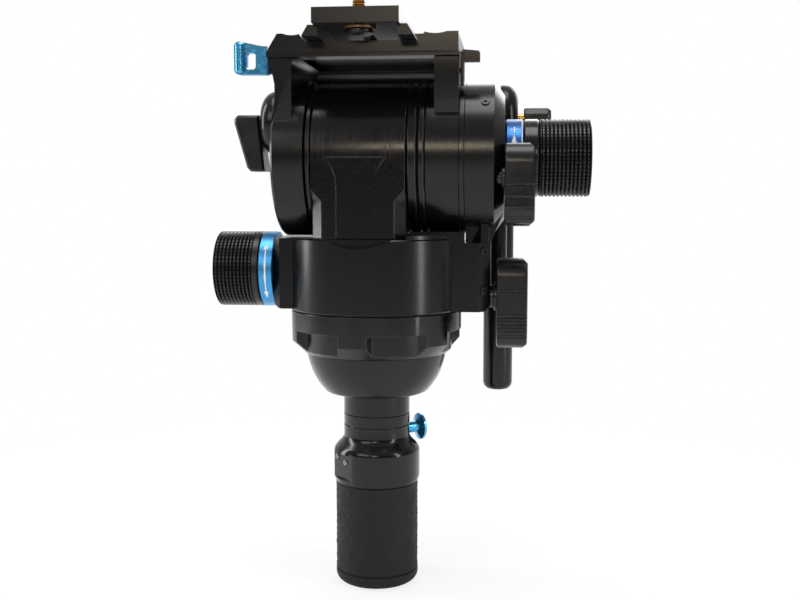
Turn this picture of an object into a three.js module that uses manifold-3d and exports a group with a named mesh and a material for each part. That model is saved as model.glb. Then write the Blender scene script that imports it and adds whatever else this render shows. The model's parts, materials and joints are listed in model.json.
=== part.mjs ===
// Fluid video head with a half ball base: pan housing, tilt drum, cradle with a sliding camera plate,
// two drag knobs, two wing lock knobs, a folded pan bar and a tie-down grip.
// Millimetres, +Z up, the origin at the centre of the half ball. The front is -Y, the tilt axis runs
// along X, the pan axis along Z.

import * as THREE from 'three';
import { mergeVertices } from 'three/addons/utils/BufferGeometryUtils.js';
import Module from 'manifold-3d';

const wasm = await Module();
wasm.setup();

// Fits and facets
const seat = 0.3;
const overrun = 8;
const turnSteps = 30;
const knobSteps = 20;
const hiddenSteps = 16;
const smallSteps = 16;
const curveSteps = 5;
const cornerSteps = 4;
const edgeSteps = 3;
const halfTurn = 180;
const fullTurn = 360;
const degrees = Math.PI / halfTurn;
const full = 2;
const half = 0.5;

// Half ball, its neck and the tie-down stud
const ballRadius = 37.5;
const ballFlatDrop = 26.2;
const ballFootRound = 3;
const ballArcSteps = 6;
const neckRadius = 17.7;
const neckLength = 11.8;
const neckBottom = -ballFlatDrop - neckLength;
const studRadius = 5;
const studHeadRadius = 12;
const studHeadHeight = 6;

// Base ring with its lugs, a little inside the housing above it
const housingRadius = 46;
const baseInset = 0.7;
const baseRadius = housingRadius - baseInset;
const baseTop = 18;
const baseBandBottom = 2;
const baseFootInset = 6.9;
const baseFootRadius = baseRadius - baseFootInset;
const baseFootHeight = 6.5;
const baseBottom = baseBandBottom - baseFootHeight;
const recessCount = 6;
const recessAngle = 41;
const recessFloorAngle = 34.5;
const recessFirstAngle = -69;
const recessHeight = 6;
const recessTop = baseBandBottom + recessHeight;
const recessDepth = 5;

// Clamp collar, safety pin and grip
const collarGrooveDrop = 5;
const collarGrooveDepth = 0.7;
const collarGrooveWidth = 1.2;
const collarNeckLength = 12;
const collarNeckBottom = neckBottom - collarNeckLength;
const collarBellLength = 8.5;
const collarShoulder = collarNeckBottom - collarBellLength;
const collarRadius = 23.2;
const collarRimLength = 13.8;
const collarRimBottom = collarShoulder - collarRimLength;
const collarFootLength = 2.7;
const collarBottom = collarRimBottom - collarFootLength;
const collarFootRadius = 22.3;
const collarFlatAngle = -140;
const collarFlatDepth = 1.6;
const pinDrop = 10.7;
const pinHeight = neckBottom - pinDrop;
const pinAngle = 32;
const pinRadius = 3;
const pinHeadRadius = 7.2;
const pinHeadReach = 9;
const pinHeadThickness = 1.4;
const pinNeckLength = 3;
const pinInset = 9.7;
const pinDepth = neckRadius - pinInset;
const gripRadius = 22.25;
const gripLength = 55.6;
const gripBottom = collarBottom - gripLength;
const gripRound = 5;
const gripBore = 12;
const gripFloor = 12;
const gripSeamHeight = 7;
const gripSeamWidth = 0.9;
const gripSeamDepth = 0.6;
const studClearance = 6.6;
const studBottom = gripBottom + gripFloor + studClearance;

// Pan housing
const housingLift = 0.5;
const housingBottom = baseTop + housingLift;
const housingHeight = 37.8;
const housingTop = housingBottom + housingHeight;
const housingChamfer = 1.2;
const housingWall = 8;
const cupRadius = housingRadius - housingWall;
const crownThickness = 18;
const cupTop = housingTop - crownThickness;
const scallopCentre = -5;
const scallopWidth = 36;
const scallopDepth = 4.5;

// Pan spindle, bearing and drag disc
const spindleDrumClearance = 1;
const spindleDrumRadius = cupRadius - spindleDrumClearance;
const dragDiscRoom = 8.3;
const spindleDrumTop = cupTop - dragDiscRoom;
const spindleRadius = 9;
const spindleRise = 10.7;
const spindleTop = cupTop + spindleRise;
const bearingSeatRadius = 17;
const dragDiscBore = 12;

// Pan drag on the left, with its axis along X
const panDragDrop = 17.3;
const panDragHeight = housingTop - panDragDrop;
const panBossReach = 6.4;
const panBossFace = -housingRadius - panBossReach;
const panBossHalfWidth = 20;
const panBossLift = 3.5;
const panBossBottom = housingBottom + panBossLift;
const panBossRound = 5;
const dragRadius = 20;
const panRingWidth = 10.6;
const panRingFace = panBossFace - panRingWidth;
const panKnobBand = 3;
const panKnobLength = 20.8;
const panKnobFace = panRingFace - panKnobLength;
const dragScrewRadius = 5;
const panScrewDepth = 8.4;
const panScrewEnd = panBossFace + panScrewDepth;
const panRidgeCount = 9;

// Pan lock on the right lug
const lugReach = 14.8;
const lugFace = housingRadius + lugReach;
const lugFront = -20;
const lugRear = 14;
const lugStep = 2.3;
const lugTop = housingTop - lugStep;
const lugChamfer = 6;
const lugFootChamfer = 3;
const panLockSide = -8;
const panLockLift = 7.5;
const panLockHeight = housingBottom + panLockLift;
const lockShaftRadius = 5;
const padFace = cupRadius;
const panPadLength = 6.3;
const panShaftEnd = padFace + panPadLength;
const panWingGap = 2.5;
const panWingInner = lugFace + panWingGap;
const panWingThickness = 16.2;
const panWingOuter = panWingInner + panWingThickness;
const panWingUp = 20;
const panWingDown = 27;

// Tilt axis and the stations along it, from the drum to the left and to the right
const drumRadius = 39;
const drumLift = 2.2;
const tiltHeight = housingTop + drumLift + drumRadius;
const drumLeft = -28.5;
const leftRingWidth = 3.5;
const leftCheekInner = drumLeft - leftRingWidth;
const leftCheekThickness = 16.5;
const leftCheekFace = leftCheekInner - leftCheekThickness;
const drumWidth = 47.5;
const drumRight = drumLeft + drumWidth;
const innerRingWidth = 5.5;
const ringSplit = drumRight + innerRingWidth;
const outerRingWidth = 4;
const ringsRight = ringSplit + outerRingWidth;
const rightCheekThickness = 16.5;
const rightCheekFace = ringsRight + rightCheekThickness;
const brakeRingWidth = 2.7;
const brakeRingFace = rightCheekFace + brakeRingWidth;
const capRimWidth = 14.8;
const capShoulder = brakeRingFace + capRimWidth;
const capCrown = 5;
const capFace = capShoulder + capCrown;
const tiltRingWidth = 9.3;
const tiltRingFace = capFace + tiltRingWidth;
const tiltCollarWidth = 8.2;
const tiltCollarFace = tiltRingFace + tiltCollarWidth;
const tiltKnobLength = 26.3;
const tiltKnobFace = tiltCollarFace + tiltKnobLength;

// Tilt drum, thin rings, cap and what lies in them
const drumWall = 9;
const drumBore = drumRadius - drumWall;
const drumChamfer = 5.5;
const drumChamferDrop = 22.5;
const drumChamferTop = tiltHeight - drumChamferDrop;
const drumChamferRise = 6;
const drumChamferTip = drumChamferTop + drumChamferRise;
const panelDrop = 0.5;
const panelTop = tiltHeight - panelDrop;
const panelTopWidth = 31;
const panelFootWidth = 19;
const panelFlankHeight = 13;
const panelNeckHeight = panelTop - panelFlankHeight;
const panelDepth = 0.9;
const panelCentre = -6;
const ringEdge = 0.8;
const axleRadius = 8;
const axleInset = 5;
const axleEndInset = 9.5;
const axleEnd = capFace - axleEndInset;
const bearingWidth = 8;
const springBore = 12;
const springClearance = 2;
const springRadius = drumBore - springClearance;
const capRim = 12;
const capBore = drumRadius - capRim;
const capWall = 7.5;
const capFaceInset = 7;
const capFaceRadius = drumRadius - capFaceInset;
const pedestalHalfWidth = 16;
const pedestalSlantRise = 16;
const pedestalSlantTop = lugTop + pedestalSlantRise;
const tiltKnobBand = 1.8;
const tiltRidgeCount = 12;
const ridgeDepth = 0.8;
const knobEdge = 1;

// Tilt lock
const tiltLockInset = 8;
const tiltLockSide = tiltLockInset - drumRadius;
const tiltLockDrop = 10.5;
const tiltLockHeight = tiltHeight - tiltLockDrop;
const tiltShaftRadius = 3.6;
const tiltPadLength = 3.3;
const tiltShaftEnd = brakeRingFace + tiltPadLength;
const tiltWingGap = 0.5;
const tiltWingInner = capFace + tiltWingGap;
const tiltWingThickness = 16.4;
const tiltWingOuter = tiltWingInner + tiltWingThickness;
const tiltWingUp = 17;
const tiltWingDown = 24;
const wingHalfWidth = 10.5;
const wingFlutes = 5;
const fluteRadius = 1.1;
const fluteSpread = 104;
const wingEdge = 1.2;

// Cheeks with their arms, and the sides of the deck that they carry
const deckHalfDepth = 38;
const deckOverhang = 1.5;
const deckLeft = leftCheekFace - deckOverhang;
const deckRight = rightCheekFace;
const leftCheekReach = 1.5;
const leftCheekRadius = drumRadius + leftCheekReach;
const rightCheekInset = 0.5;
const rightCheekRadius = drumRadius - rightCheekInset;
const cheekEdge = 1.2;
const armInset = 2;
const armHalfWidth = deckHalfDepth - armInset;
const armClearance = 9.2;
const armRise = drumRadius + armClearance;
const armTop = tiltHeight + armRise;
const leftArmInset = 10.5;
const leftArmInner = leftCheekFace + leftArmInset;
const leftArmTopFace = deckLeft;
const leftArmWaistInset = 2.2;
const leftArmWaistFace = leftCheekFace + leftArmWaistInset;
const leftArmWaistDrop = 15.7;
const leftArmWaist = armTop - leftArmWaistDrop;
const leftArmRound = 4;
const rightArmThickness = 12;
const rightArmInner = rightCheekFace - rightArmThickness;
const rightArmLength = 28.7;
const rightArmBottom = armTop - rightArmLength;
const rightArmChamfer = 8;

// Rosettes and the pan bar
const rosetteSide = 58;
const rosetteRise = 24.5;
const rosetteHeight = tiltHeight + rosetteRise;
const lobeRadius = 17;
const rosetteRadius = 16;
const rosetteLength = 19.4;
const rosetteFace = rightCheekFace + rosetteLength;
const clampRadius = 19.5;
const clampThickness = 10.1;
const clampFace = rosetteFace + clampThickness;
const clampRound = 7;
const barRadius = 8.5;
const barInset = 0.1;
const barCentre = rosetteFace - barInset;
const socketDrop = 22;
const socketTop = rosetteHeight - socketDrop;
const socketLength = 16;
const socketBottom = socketTop - socketLength;
const socketWall = 3;
const barLength = 135;
const barBottom = socketTop - barLength;
const clampNeckHalfWidth = 8;
const clampStudRadius = 3;
const clampStudInset = 5;
const clampStudInner = rightCheekFace + clampStudInset;
const clampStudLength = 3.5;
const clampStudFace = clampFace + clampStudLength;
const clampKnobRadius = 6.5;
const clampKnobLength = 15.5;
const clampKnobFace = clampStudFace + clampKnobLength;
const clampKnobEdge = 1.6;
const leftRosetteSide = 30;
const leftRosetteRise = 20.5;
const leftRosetteHeight = tiltHeight + leftRosetteRise;
const leftRosetteRadius = 18;
const leftRosetteLength = 18.5;
const leftRosetteFace = leftCheekFace - leftRosetteLength;
const leftRosetteRound = 8;
const leftWingGap = 1.7;
const leftWingInner = leftRosetteFace - leftWingGap;
const leftWingThickness = 13.8;
const leftWingOuter = leftWingInner - leftWingThickness;
const leftWingUp = 4.5;
const leftWingDown = 26.5;
const leftWingLean = 3.2;
const leftWingTaper = 7;
const leftWingHalfWidth = 8;
const leftWingCorner = 2;

// Platform
const deckBottom = armTop + seat;
const lipLift = 1.8;
const lipBottom = deckBottom + lipLift;
const lipHeight = 1.5;
const lipTop = lipBottom + lipHeight;
const lipReach = 1;
const deckThickness = 7.5;
const deckTop = deckBottom + deckThickness;
const jawHeight = 3.9;
const jawTop = deckTop + jawHeight;
const leftJawSlant = 3.5;
const saddleDepth = 0.9;
const jawLeadIn = 7;
const undersideInset = 12;
const undersideDepth = 3;

// Camera plate and its screw
const plateCentre = (deckLeft + deckRight) * half;
const plateFootWidth = 54;
const plateWidth = 43.5;
const plateFrontReach = 20;
const plateFront = -deckHalfDepth - plateFrontReach;
const plateRearReach = 14;
const plateRear = deckHalfDepth + plateRearReach;
const plateFlankHeight = 9;
const plateShoulder = deckTop + plateFlankHeight;
const plateEdgeHeight = 3.9;
const plateTop = plateShoulder + plateEdgeHeight;
const channelWidth = 38;
const channelDepth = 5.5;
const channelTop = deckTop + channelDepth;
const slotWidth = 7;
const slotFrontWall = 4;
const slotFront = plateFront + slotFrontWall;
const slotRearWall = 22;
const slotRear = plateRear - slotRearWall;
const screwReach = 8;
const screwSide = slotFront + screwReach;
const screwRadius = 3.175;
const screwLength = 7.6;
const screwTop = plateTop + screwLength;
const screwHeadRadius = 7;
const screwHeadHeight = 2.6;
const washerRadius = 8.5;
const washerHeight = 1.2;

// Quick-release lever with its sliding jaw
const leverPivotGap = 4.6;
const leverPivotX = deckLeft - leverPivotGap;
const leverPivotInset = 18;
const leverPivotY = leverPivotInset - deckHalfDepth;
const leverPinRadius = 1.5;
const leverHubRadius = 3.8;
const leverForward = 8;
const leverFront = leverPivotY - leverForward;
const leverThickness = 6;
const leverTailGap = 1.6;
const leverTail = deckLeft - leverTailGap;
const leverLength = 14.9;
const leverHead = leverPivotX - leverLength;
const leverDrop = 6.5;
const leverBottom = deckBottom - leverDrop;
const leverRise = 2.5;
const leverTop = deckTop + leverRise;
const leverSlope = 1.5;
const leverBarWidth = 5.6;
const leverWindowWidth = 5.2;
const leverLowerRail = 3.4;
const leverWindowBottom = leverBottom + leverLowerRail;
const leverUpperRail = 4.2;
const leverWindowTop = leverTop - leverUpperRail;
const leverRound = 2.6;
const tongueLift = 2;
const tongueBottom = deckBottom + tongueLift;
const tongueThickness = 3;
const tongueTop = tongueBottom + tongueThickness;
const tongueHalfWidth = 3;
const slidingJawFront = leverPivotY;
const slidingJawLength = 32;
const slidingJawRear = slidingJawFront + slidingJawLength;
const slidingJawWidth = 7;
const slidingJawTravel = 1.5;

// Safety lever on the right arm
const catchInset = 14;
const catchSide = catchInset - armHalfWidth;
const catchPivotDrop = 5.2;
const catchPivotHeight = armTop - catchPivotDrop;
const catchThickness = 1.8;
const catchHalfWidth = 3;
const catchTail = 7.5;
const catchBottom = catchPivotHeight - catchTail;
const catchRise = 9;
const catchTop = catchPivotHeight + catchRise;
const catchArm = 10;
const catchReach = rightCheekFace + catchArm;
const catchShelfRise = 4;
const catchShelf = catchPivotHeight + catchShelfRise;
const catchShelfThickness = 2.4;
const catchTip = 2;
const catchPinRadius = 1.5;
const catchPinDepth = 6;

// Turns a triangle mesh into a solid that can be joined and cut
function solidOf(geometry) {
  let merged = geometry;
  if (geometry.attributes.normal) {
    const bare = geometry.clone();
    bare.deleteAttribute('normal');
    bare.deleteAttribute('uv');
    merged = mergeVertices(bare);
  }
  const corners = merged.index.array;
  const triangles = [];
  for (let i = 0; i < corners.length; i += 3) {
    const [a, b, c] = [corners[i], corners[i + 1], corners[i + 2]];
    if (a !== b && b !== c && c !== a) {
      triangles.push(a, b, c);
    }
  }
  const places = merged.attributes.position.array;
  if (signedVolume(places, triangles) < 0) {
    triangles.reverse();
  }
  return new wasm.Manifold(new wasm.Mesh({
    numProp: 3,
    vertProperties: new Float32Array(places),
    triVerts: new Uint32Array(triangles),
  }));
}

// Six times the volume inside the triangles, below zero where they face inwards
function signedVolume(places, triangles) {
  const corner = [new THREE.Vector3(), new THREE.Vector3(), new THREE.Vector3()];
  let sum = 0;
  for (let i = 0; i < triangles.length; i += 3) {
    corner.forEach((point, k) => point.fromArray(places, triangles[i + k] * 3));
    sum += corner[0].dot(corner[1].cross(corner[2]));
  }
  return sum;
}

function geometryOf(solid) {
  const mesh = solid.getMesh();
  const geometry = new THREE.BufferGeometry();
  geometry.setAttribute('position', new THREE.BufferAttribute(new Float32Array(mesh.vertProperties), 3));
  geometry.setIndex(new THREE.BufferAttribute(new Uint32Array(mesh.triVerts), 1));
  return geometry;
}

function join(...bodies) {
  return geometryOf(bodies.map(solidOf).reduce((all, next) => all.add(next)));
}

function cut(body, ...tools) {
  return geometryOf(tools.map(solidOf).reduce((left, tool) => left.subtract(tool), solidOf(body)));
}

function common(...bodies) {
  return geometryOf(bodies.map(solidOf).reduce((all, next) => all.intersect(next)));
}

// Turned body about Z from points of radius and height; a profile off the axis closes on itself
function turned(profile, steps = turnSteps) {
  const points = profile.map(([radius, height]) => new THREE.Vector2(radius, height));
  if (points[0].x > 0) {
    points.push(points[0].clone());
  }
  return new THREE.LatheGeometry(points, steps).rotateX(Math.PI * half);
}

// The same about an axis along X, through a given side (Y) and height (Z)
function turnedAlongX(profile, side, height, steps = turnSteps) {
  return turned(profile, steps).rotateY(Math.PI * half).translate(0, side, height);
}

function rod(radius, from, to, steps = turnSteps) {
  return turned([[0, from], [radius, from], [radius, to], [0, to]], steps);
}

function rodAlongX(radius, from, to, side, height, steps = turnSteps) {
  return turnedAlongX([[0, from], [radius, from], [radius, to], [0, to]], side, height, steps);
}

// Sleeve about the tilt axis
function tiltSleeve(bore, radius, from, to, steps = hiddenSteps) {
  return turnedAlongX([[bore, from], [radius, from], [radius, to], [bore, to]], 0, tiltHeight, steps);
}

function block([left, right], [front, rear], [bottom, top]) {
  const geometry = new THREE.BoxGeometry(right - left, rear - front, top - bottom);
  return geometry.translate((left + right) * half, (front + rear) * half, (bottom + top) * half);
}

function outline(points) {
  return new THREE.Shape(points.map(([u, v]) => new THREE.Vector2(u, v)));
}

function extruded(shape, depth, edge = 0) {
  return new THREE.ExtrudeGeometry(shape, {
    depth: depth - edge * full,
    bevelEnabled: edge > 0,
    bevelThickness: edge,
    bevelSize: edge,
    bevelOffset: -edge,
    bevelSegments: 1,
    curveSegments: curveSteps,
  }).translate(0, 0, edge);
}

// An outline drawn in Y and Z, extruded from one X to another
function alongX(shape, from, to, edge = 0) {
  const axes = new THREE.Matrix4().makeBasis(
    new THREE.Vector3(0, 1, 0),
    new THREE.Vector3(0, 0, 1),
    new THREE.Vector3(1, 0, 0),
  );
  return extruded(shape, to - from, edge).applyMatrix4(axes).translate(from, 0, 0);
}

// An outline drawn in X and Z, extruded from the front to the rear
function alongY(shape, front, rear, edge = 0) {
  const axes = new THREE.Matrix4().makeBasis(
    new THREE.Vector3(1, 0, 0),
    new THREE.Vector3(0, 0, 1),
    new THREE.Vector3(0, -1, 0),
  );
  return extruded(shape, rear - front, edge).applyMatrix4(axes).translate(0, rear, 0);
}

// An outline drawn in X and Y, extruded upwards
function alongZ(shape, bottom, top, edge = 0) {
  return extruded(shape, top - bottom, edge).translate(0, 0, bottom);
}

// Looks
function finish(color, roughness, metalness) {
  return () => new THREE.MeshStandardMaterial({ color, roughness, metalness });
}

const anodised = finish(0x1b1b1e, 0.42, 0.6);
const satinBlack = finish(0x232327, 0.5, 0.5);
const knobBlack = finish(0x161618, 0.55, 0.2);
const rubber = finish(0x1a1a1c, 0.85, 0);
const skyBlue = finish(0x3fa9e0, 0.3, 0.8);
const brass = finish(0xc59a4a, 0.3, 1);
const steel = finish(0x8d8f94, 0.35, 1);
const bronze = finish(0x9a7440, 0.45, 0.9);
const polymer = finish(0x3a3a3a, 0.7, 0);

const head = new THREE.Group();

function add(name, geometry, looks) {
  const mesh = new THREE.Mesh(geometryOf(solidOf(geometry)), looks());
  mesh.name = name;
  head.add(mesh);
}

// Evenly spaced shares from zero to one
function shares(count) {
  return Array.from({ length: count + 1 }, (_, i) => i / count);
}

// Quarter of a round edge, from one direction to the next, as points of an outline
function roundEdge(centreU, centreV, radius, fromAngle, toAngle, count = curveSteps) {
  return shares(count).map((share) => {
    const angle = (fromAngle + (toAngle - fromAngle) * share) * degrees;
    return [centreU + radius * Math.cos(angle), centreV + radius * Math.sin(angle)];
  });
}

// Half ball: round below, cut flat at its rounded foot, with a bore and a seat for the stud's head
function halfBall() {
  const top = baseBottom - seat;
  const roundDrop = ballFlatDrop - ballFootRound;
  const roundCentre = Math.sqrt((ballRadius - ballFootRound) ** 2 - roundDrop ** 2);
  const from = -Math.atan2(roundDrop, roundCentre) / degrees;
  const to = Math.asin(top / ballRadius) / degrees;
  const bore = studRadius + seat;
  const headBore = studHeadRadius + seat;
  const headSeat = top - studHeadHeight - seat;
  return turned([
    [bore, -ballFlatDrop],
    ...roundEdge(roundCentre, -roundDrop, ballFootRound, -90, from, edgeSteps).slice(0, -1),
    ...roundEdge(0, 0, ballRadius, from, to, ballArcSteps),
    [headBore, top],
    [headBore, headSeat],
    [bore, headSeat],
  ]);
}

// Base ring: tapered foot, with lugs left between recesses round its lower band
function baseRing() {
  const body = turned([
    [0, baseBottom],
    [baseFootRadius, baseBottom],
    [baseRadius, baseBandBottom],
    [baseRadius, baseTop],
    [0, baseTop],
  ]);
  const floor = roundEdge(
    0, 0, baseRadius - recessDepth, -recessFloorAngle * half, recessFloorAngle * half, cornerSteps);
  const mouth = roundEdge(0, 0, baseRadius, recessAngle * half, -recessAngle * half, 1);
  const ends = [floor[cornerSteps], floor[0]];
  const beyond = mouth.map(([u, v], i) => [u + (u - ends[i][0]), v + (v - ends[i][1])]);
  const recesses = Array.from({ length: recessCount }, (_, i) => {
    const middle = recessFirstAngle + (i * fullTurn) / recessCount;
    return alongZ(outline([...floor, ...beyond]), baseBottom - overrun, recessTop).rotateZ(middle * degrees);
  });
  return cut(body, ...recesses);
}

function tieStud() {
  const headTop = baseBottom - seat;
  const headBottom = headTop - studHeadHeight;
  return turned([
    [0, studBottom],
    [studRadius, studBottom],
    [studRadius, headBottom],
    [studHeadRadius, headBottom],
    [studHeadRadius, headTop],
    [0, headTop],
  ], hiddenSteps);
}

function neckStub() {
  const bore = studRadius + seat;
  return turned([
    [bore, neckBottom],
    [neckRadius, neckBottom],
    [neckRadius, -ballFlatDrop - seat],
    [bore, -ballFlatDrop - seat],
  ]);
}

// Clamp collar: neck with a groove, bell, rim with a tapered foot, a flat and the bore of the pin
function clampCollar() {
  const top = neckBottom - seat;
  const grooveTop = top - collarGrooveDrop;
  const grooveBottom = grooveTop - collarGrooveWidth;
  const bore = studRadius + seat;
  const bell = shares(curveSteps).map((share) => {
    const rise = (1 - Math.cos(Math.PI * share)) * half;
    return [
      neckRadius + (collarRadius - neckRadius) * rise,
      collarNeckBottom + (collarShoulder - collarNeckBottom) * share,
    ];
  });
  const body = turned([
    [bore, top],
    [neckRadius, top],
    [neckRadius, grooveTop],
    [neckRadius - collarGrooveDepth, grooveTop],
    [neckRadius - collarGrooveDepth, grooveBottom],
    [neckRadius, grooveBottom],
    ...bell,
    [collarRadius, collarRimBottom],
    [collarFootRadius, collarBottom],
    [bore, collarBottom],
  ]);
  const flatFrom = collarRadius - collarFlatDepth;
  const flat = block(
    [flatFrom, flatFrom + overrun],
    [-collarRadius, collarRadius],
    [collarRimBottom, collarShoulder],
  ).rotateZ(collarFlatAngle * degrees);
  const pinBore = rodAlongX(pinRadius + seat, pinDepth - seat, neckRadius + overrun, 0, pinHeight, smallSteps)
    .rotateZ(pinAngle * degrees);
  return cut(body, flat, pinBore);
}

// Safety pin with a trumpet head, pointing out of the collar
function safetyPin() {
  const root = neckRadius + seat;
  const flareFrom = root + pinNeckLength;
  const flareTo = root + pinHeadReach - pinHeadThickness;
  const flare = shares(curveSteps).map((share) => [
    pinRadius + (pinHeadRadius - pinRadius) * share * share,
    flareFrom + (flareTo - flareFrom) * share,
  ]);
  return turnedAlongX([
    [0, pinDepth],
    [pinRadius, pinDepth],
    ...flare,
    [pinHeadRadius, flareTo + pinHeadThickness],
    [0, flareTo + pinHeadThickness],
  ], 0, pinHeight, smallSteps).rotateZ(pinAngle * degrees);
}

// Rubber grip: open above for its core, round at its lower edge, with a seam round its foot
function tieGrip() {
  const top = collarBottom - seat;
  const floor = gripBottom + gripFloor;
  const seamBottom = gripBottom + gripSeamHeight;
  const seamTop = seamBottom + gripSeamWidth;
  return turned([
    [gripBore, top],
    [gripRadius, top],
    [gripRadius, seamTop],
    [gripRadius - gripSeamDepth, seamTop],
    [gripRadius - gripSeamDepth, seamBottom],
    ...roundEdge(gripRadius - gripRound, gripBottom + gripRound, gripRound, 0, -90, curveSteps),
    [0, gripBottom],
    [0, floor],
    [gripBore, floor],
  ]);
}

function gripCore() {
  const bore = studRadius + seat;
  const bottom = gripBottom + gripFloor + seat;
  return turned([
    [bore, bottom],
    [gripBore - seat, bottom],
    [gripBore - seat, collarBottom - seat],
    [bore, collarBottom - seat],
  ], hiddenSteps);
}

function panSpindle() {
  return turned([
    [0, baseTop + seat],
    [spindleDrumRadius, baseTop + seat],
    [spindleDrumRadius, spindleDrumTop],
    [spindleRadius, spindleDrumTop],
    [spindleRadius, spindleTop],
    [0, spindleTop],
  ]);
}

// Pan housing: cup open below, seat of the bearing, boss of the pan drag, lug of the pan lock
function panHousing() {
  const barrel = turned([
    [0, housingBottom],
    [housingRadius - housingChamfer, housingBottom],
    [housingRadius, housingBottom + housingChamfer],
    [housingRadius, housingTop - housingChamfer],
    [housingRadius - housingChamfer, housingTop],
    [0, housingTop],
  ]);
  const cup = rod(cupRadius, housingBottom - overrun, cupTop);
  const bearingSeat = rod(bearingSeatRadius, housingBottom, spindleTop + seat);
  const dragBore = rodAlongX(dragScrewRadius + seat, panRingFace, panScrewEnd + seat, 0, panDragHeight);
  const lockBore = rodAlongX(
    lockShaftRadius + seat, cupRadius - overrun, lugFace + overrun, panLockSide, panLockHeight);
  return cut(join(barrel, panBoss(), panLug()), cup, bearingSeat, dragBore, lockBore, scallop());
}

function panBoss() {
  const inner = -cupRadius;
  const shape = outline([
    [inner, housingTop],
    [panBossFace, housingTop],
    ...roundEdge(panBossFace + panBossRound, panBossBottom + panBossRound, panBossRound, 180, 270),
    [inner, panBossBottom],
  ]);
  return alongY(shape, -panBossHalfWidth, panBossHalfWidth);
}

function panLug() {
  const inner = cupRadius - lugChamfer;
  const plan = outline([
    [inner, lugFront],
    [lugFace - lugChamfer, lugFront],
    [lugFace, lugFront + lugChamfer],
    [lugFace, lugRear],
    [inner, lugRear],
  ]);
  const side = outline([
    [inner, housingBottom],
    [lugFace - lugFootChamfer, housingBottom],
    [lugFace, housingBottom + lugFootChamfer],
    [lugFace, lugTop],
    [inner, lugTop],
  ]);
  return common(alongZ(plan, housingBottom, lugTop), alongY(side, lugFront, lugRear));
}

// Shallow dip in the top edge in front of the drum
function scallop() {
  const dip = shares(curveSteps * full).map((share) => {
    const across = share * full - 1;
    return [scallopCentre + scallopWidth * half * across, housingTop - scallopDepth * (1 - across * across)];
  });
  const shape = outline([
    ...dip,
    [scallopCentre + scallopWidth * half, housingTop + overrun],
    [scallopCentre - scallopWidth * half, housingTop + overrun],
  ]);
  return alongY(shape, -housingRadius - overrun, -drumRadius - seat);
}

// Ring about an axis along X with its outer edges broken
function bevelledRing(bore, radius, from, to, edge, side, height, steps = turnSteps) {
  return turnedAlongX([
    [bore, from],
    [radius - edge, from],
    [radius, from + edge],
    [radius, to - edge],
    [radius - edge, to],
    [bore, to],
  ], side, height, steps);
}

// Knob turned about X: screw, plain band, then ridges out to its dished end
function ridgedKnob(inner, face, screwEnd, band, ridgeCount, height) {
  const outward = Math.sign(face - inner);
  const length = Math.abs(face - inner);
  const pitch = (length - band) / ridgeCount;
  const dishShare = 0.72;
  const ridges = Array.from({ length: ridgeCount }, (_, i) => {
    const valley = band + i * pitch;
    return [
      [dragRadius - ridgeDepth, valley],
      [dragRadius, valley + pitch * half],
    ];
  }).flat();
  const profile = [
    [0, -Math.abs(inner - screwEnd)],
    [dragScrewRadius, -Math.abs(inner - screwEnd)],
    [dragScrewRadius, 0],
    [dragRadius - knobEdge, 0],
    [dragRadius, knobEdge],
    [dragRadius, band - ridgeDepth],
    ...ridges,
    [dragRadius - knobEdge, length],
    [dragRadius * dishShare, length],
    [dragRadius * dishShare - knobEdge, length - knobEdge],
    [0, length - knobEdge],
  ];
  const placed = profile.map(([radius, along]) => [radius, inner + along * outward]);
  return turnedAlongX(placed, 0, height, knobSteps);
}

// Wing knob of a lock: long rounded wing with flutes round its lower end, on a shaft along X
function wingKnob(side, height, up, down, inner, outer, shaftRadius, shaftEnd) {
  const upperCentre = height + up - wingHalfWidth;
  const lowerCentre = height - down + wingHalfWidth;
  const shape = outline([
    ...roundEdge(side, upperCentre, wingHalfWidth, 0, 180),
    ...roundEdge(side, lowerCentre, wingHalfWidth, 180, 360),
  ]);
  const wing = alongX(shape, inner, outer, wingEdge);
  const flutes = Array.from({ length: wingFlutes }, (_, i) => {
    const angle = (-90 + fluteSpread * (i / (wingFlutes - 1) - half)) * degrees;
    const fluteSide = side + wingHalfWidth * Math.cos(angle);
    const fluteHeight = lowerCentre + wingHalfWidth * Math.sin(angle);
    return rodAlongX(fluteRadius, inner - overrun, outer + overrun, fluteSide, fluteHeight, curveSteps);
  });
  const shaft = rodAlongX(shaftRadius, shaftEnd, inner + wingEdge, side, height, smallSteps);
  return join(cut(wing, ...flutes), shaft);
}

// Tilt drum: round above, straight down to its foot, bored through, with a sunk panel in front
function tiltDrum() {
  const left = drumLeft + seat;
  const foot = housingTop + seat;
  const body = join(
    rodAlongX(drumRadius, left, drumRight, 0, tiltHeight),
    block([left, drumRight], [-drumRadius, drumRadius], [foot, tiltHeight]),
  );
  const corners = [left, drumRight].flatMap((x) => [[x, -drumRadius], [x, drumRadius]]);
  const chamfers = corners.map(([x, y]) => turned([
    [0, foot - overrun],
    [drumChamfer, foot - overrun],
    [drumChamfer, drumChamferTop],
    [0, drumChamferTip],
  ], cornerSteps).translate(x, y, 0));
  const bore = rodAlongX(drumBore, left - overrun, drumRight + overrun, 0, tiltHeight);
  return cut(body, bore, drumPanel(foot), ...chamfers);
}

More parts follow.
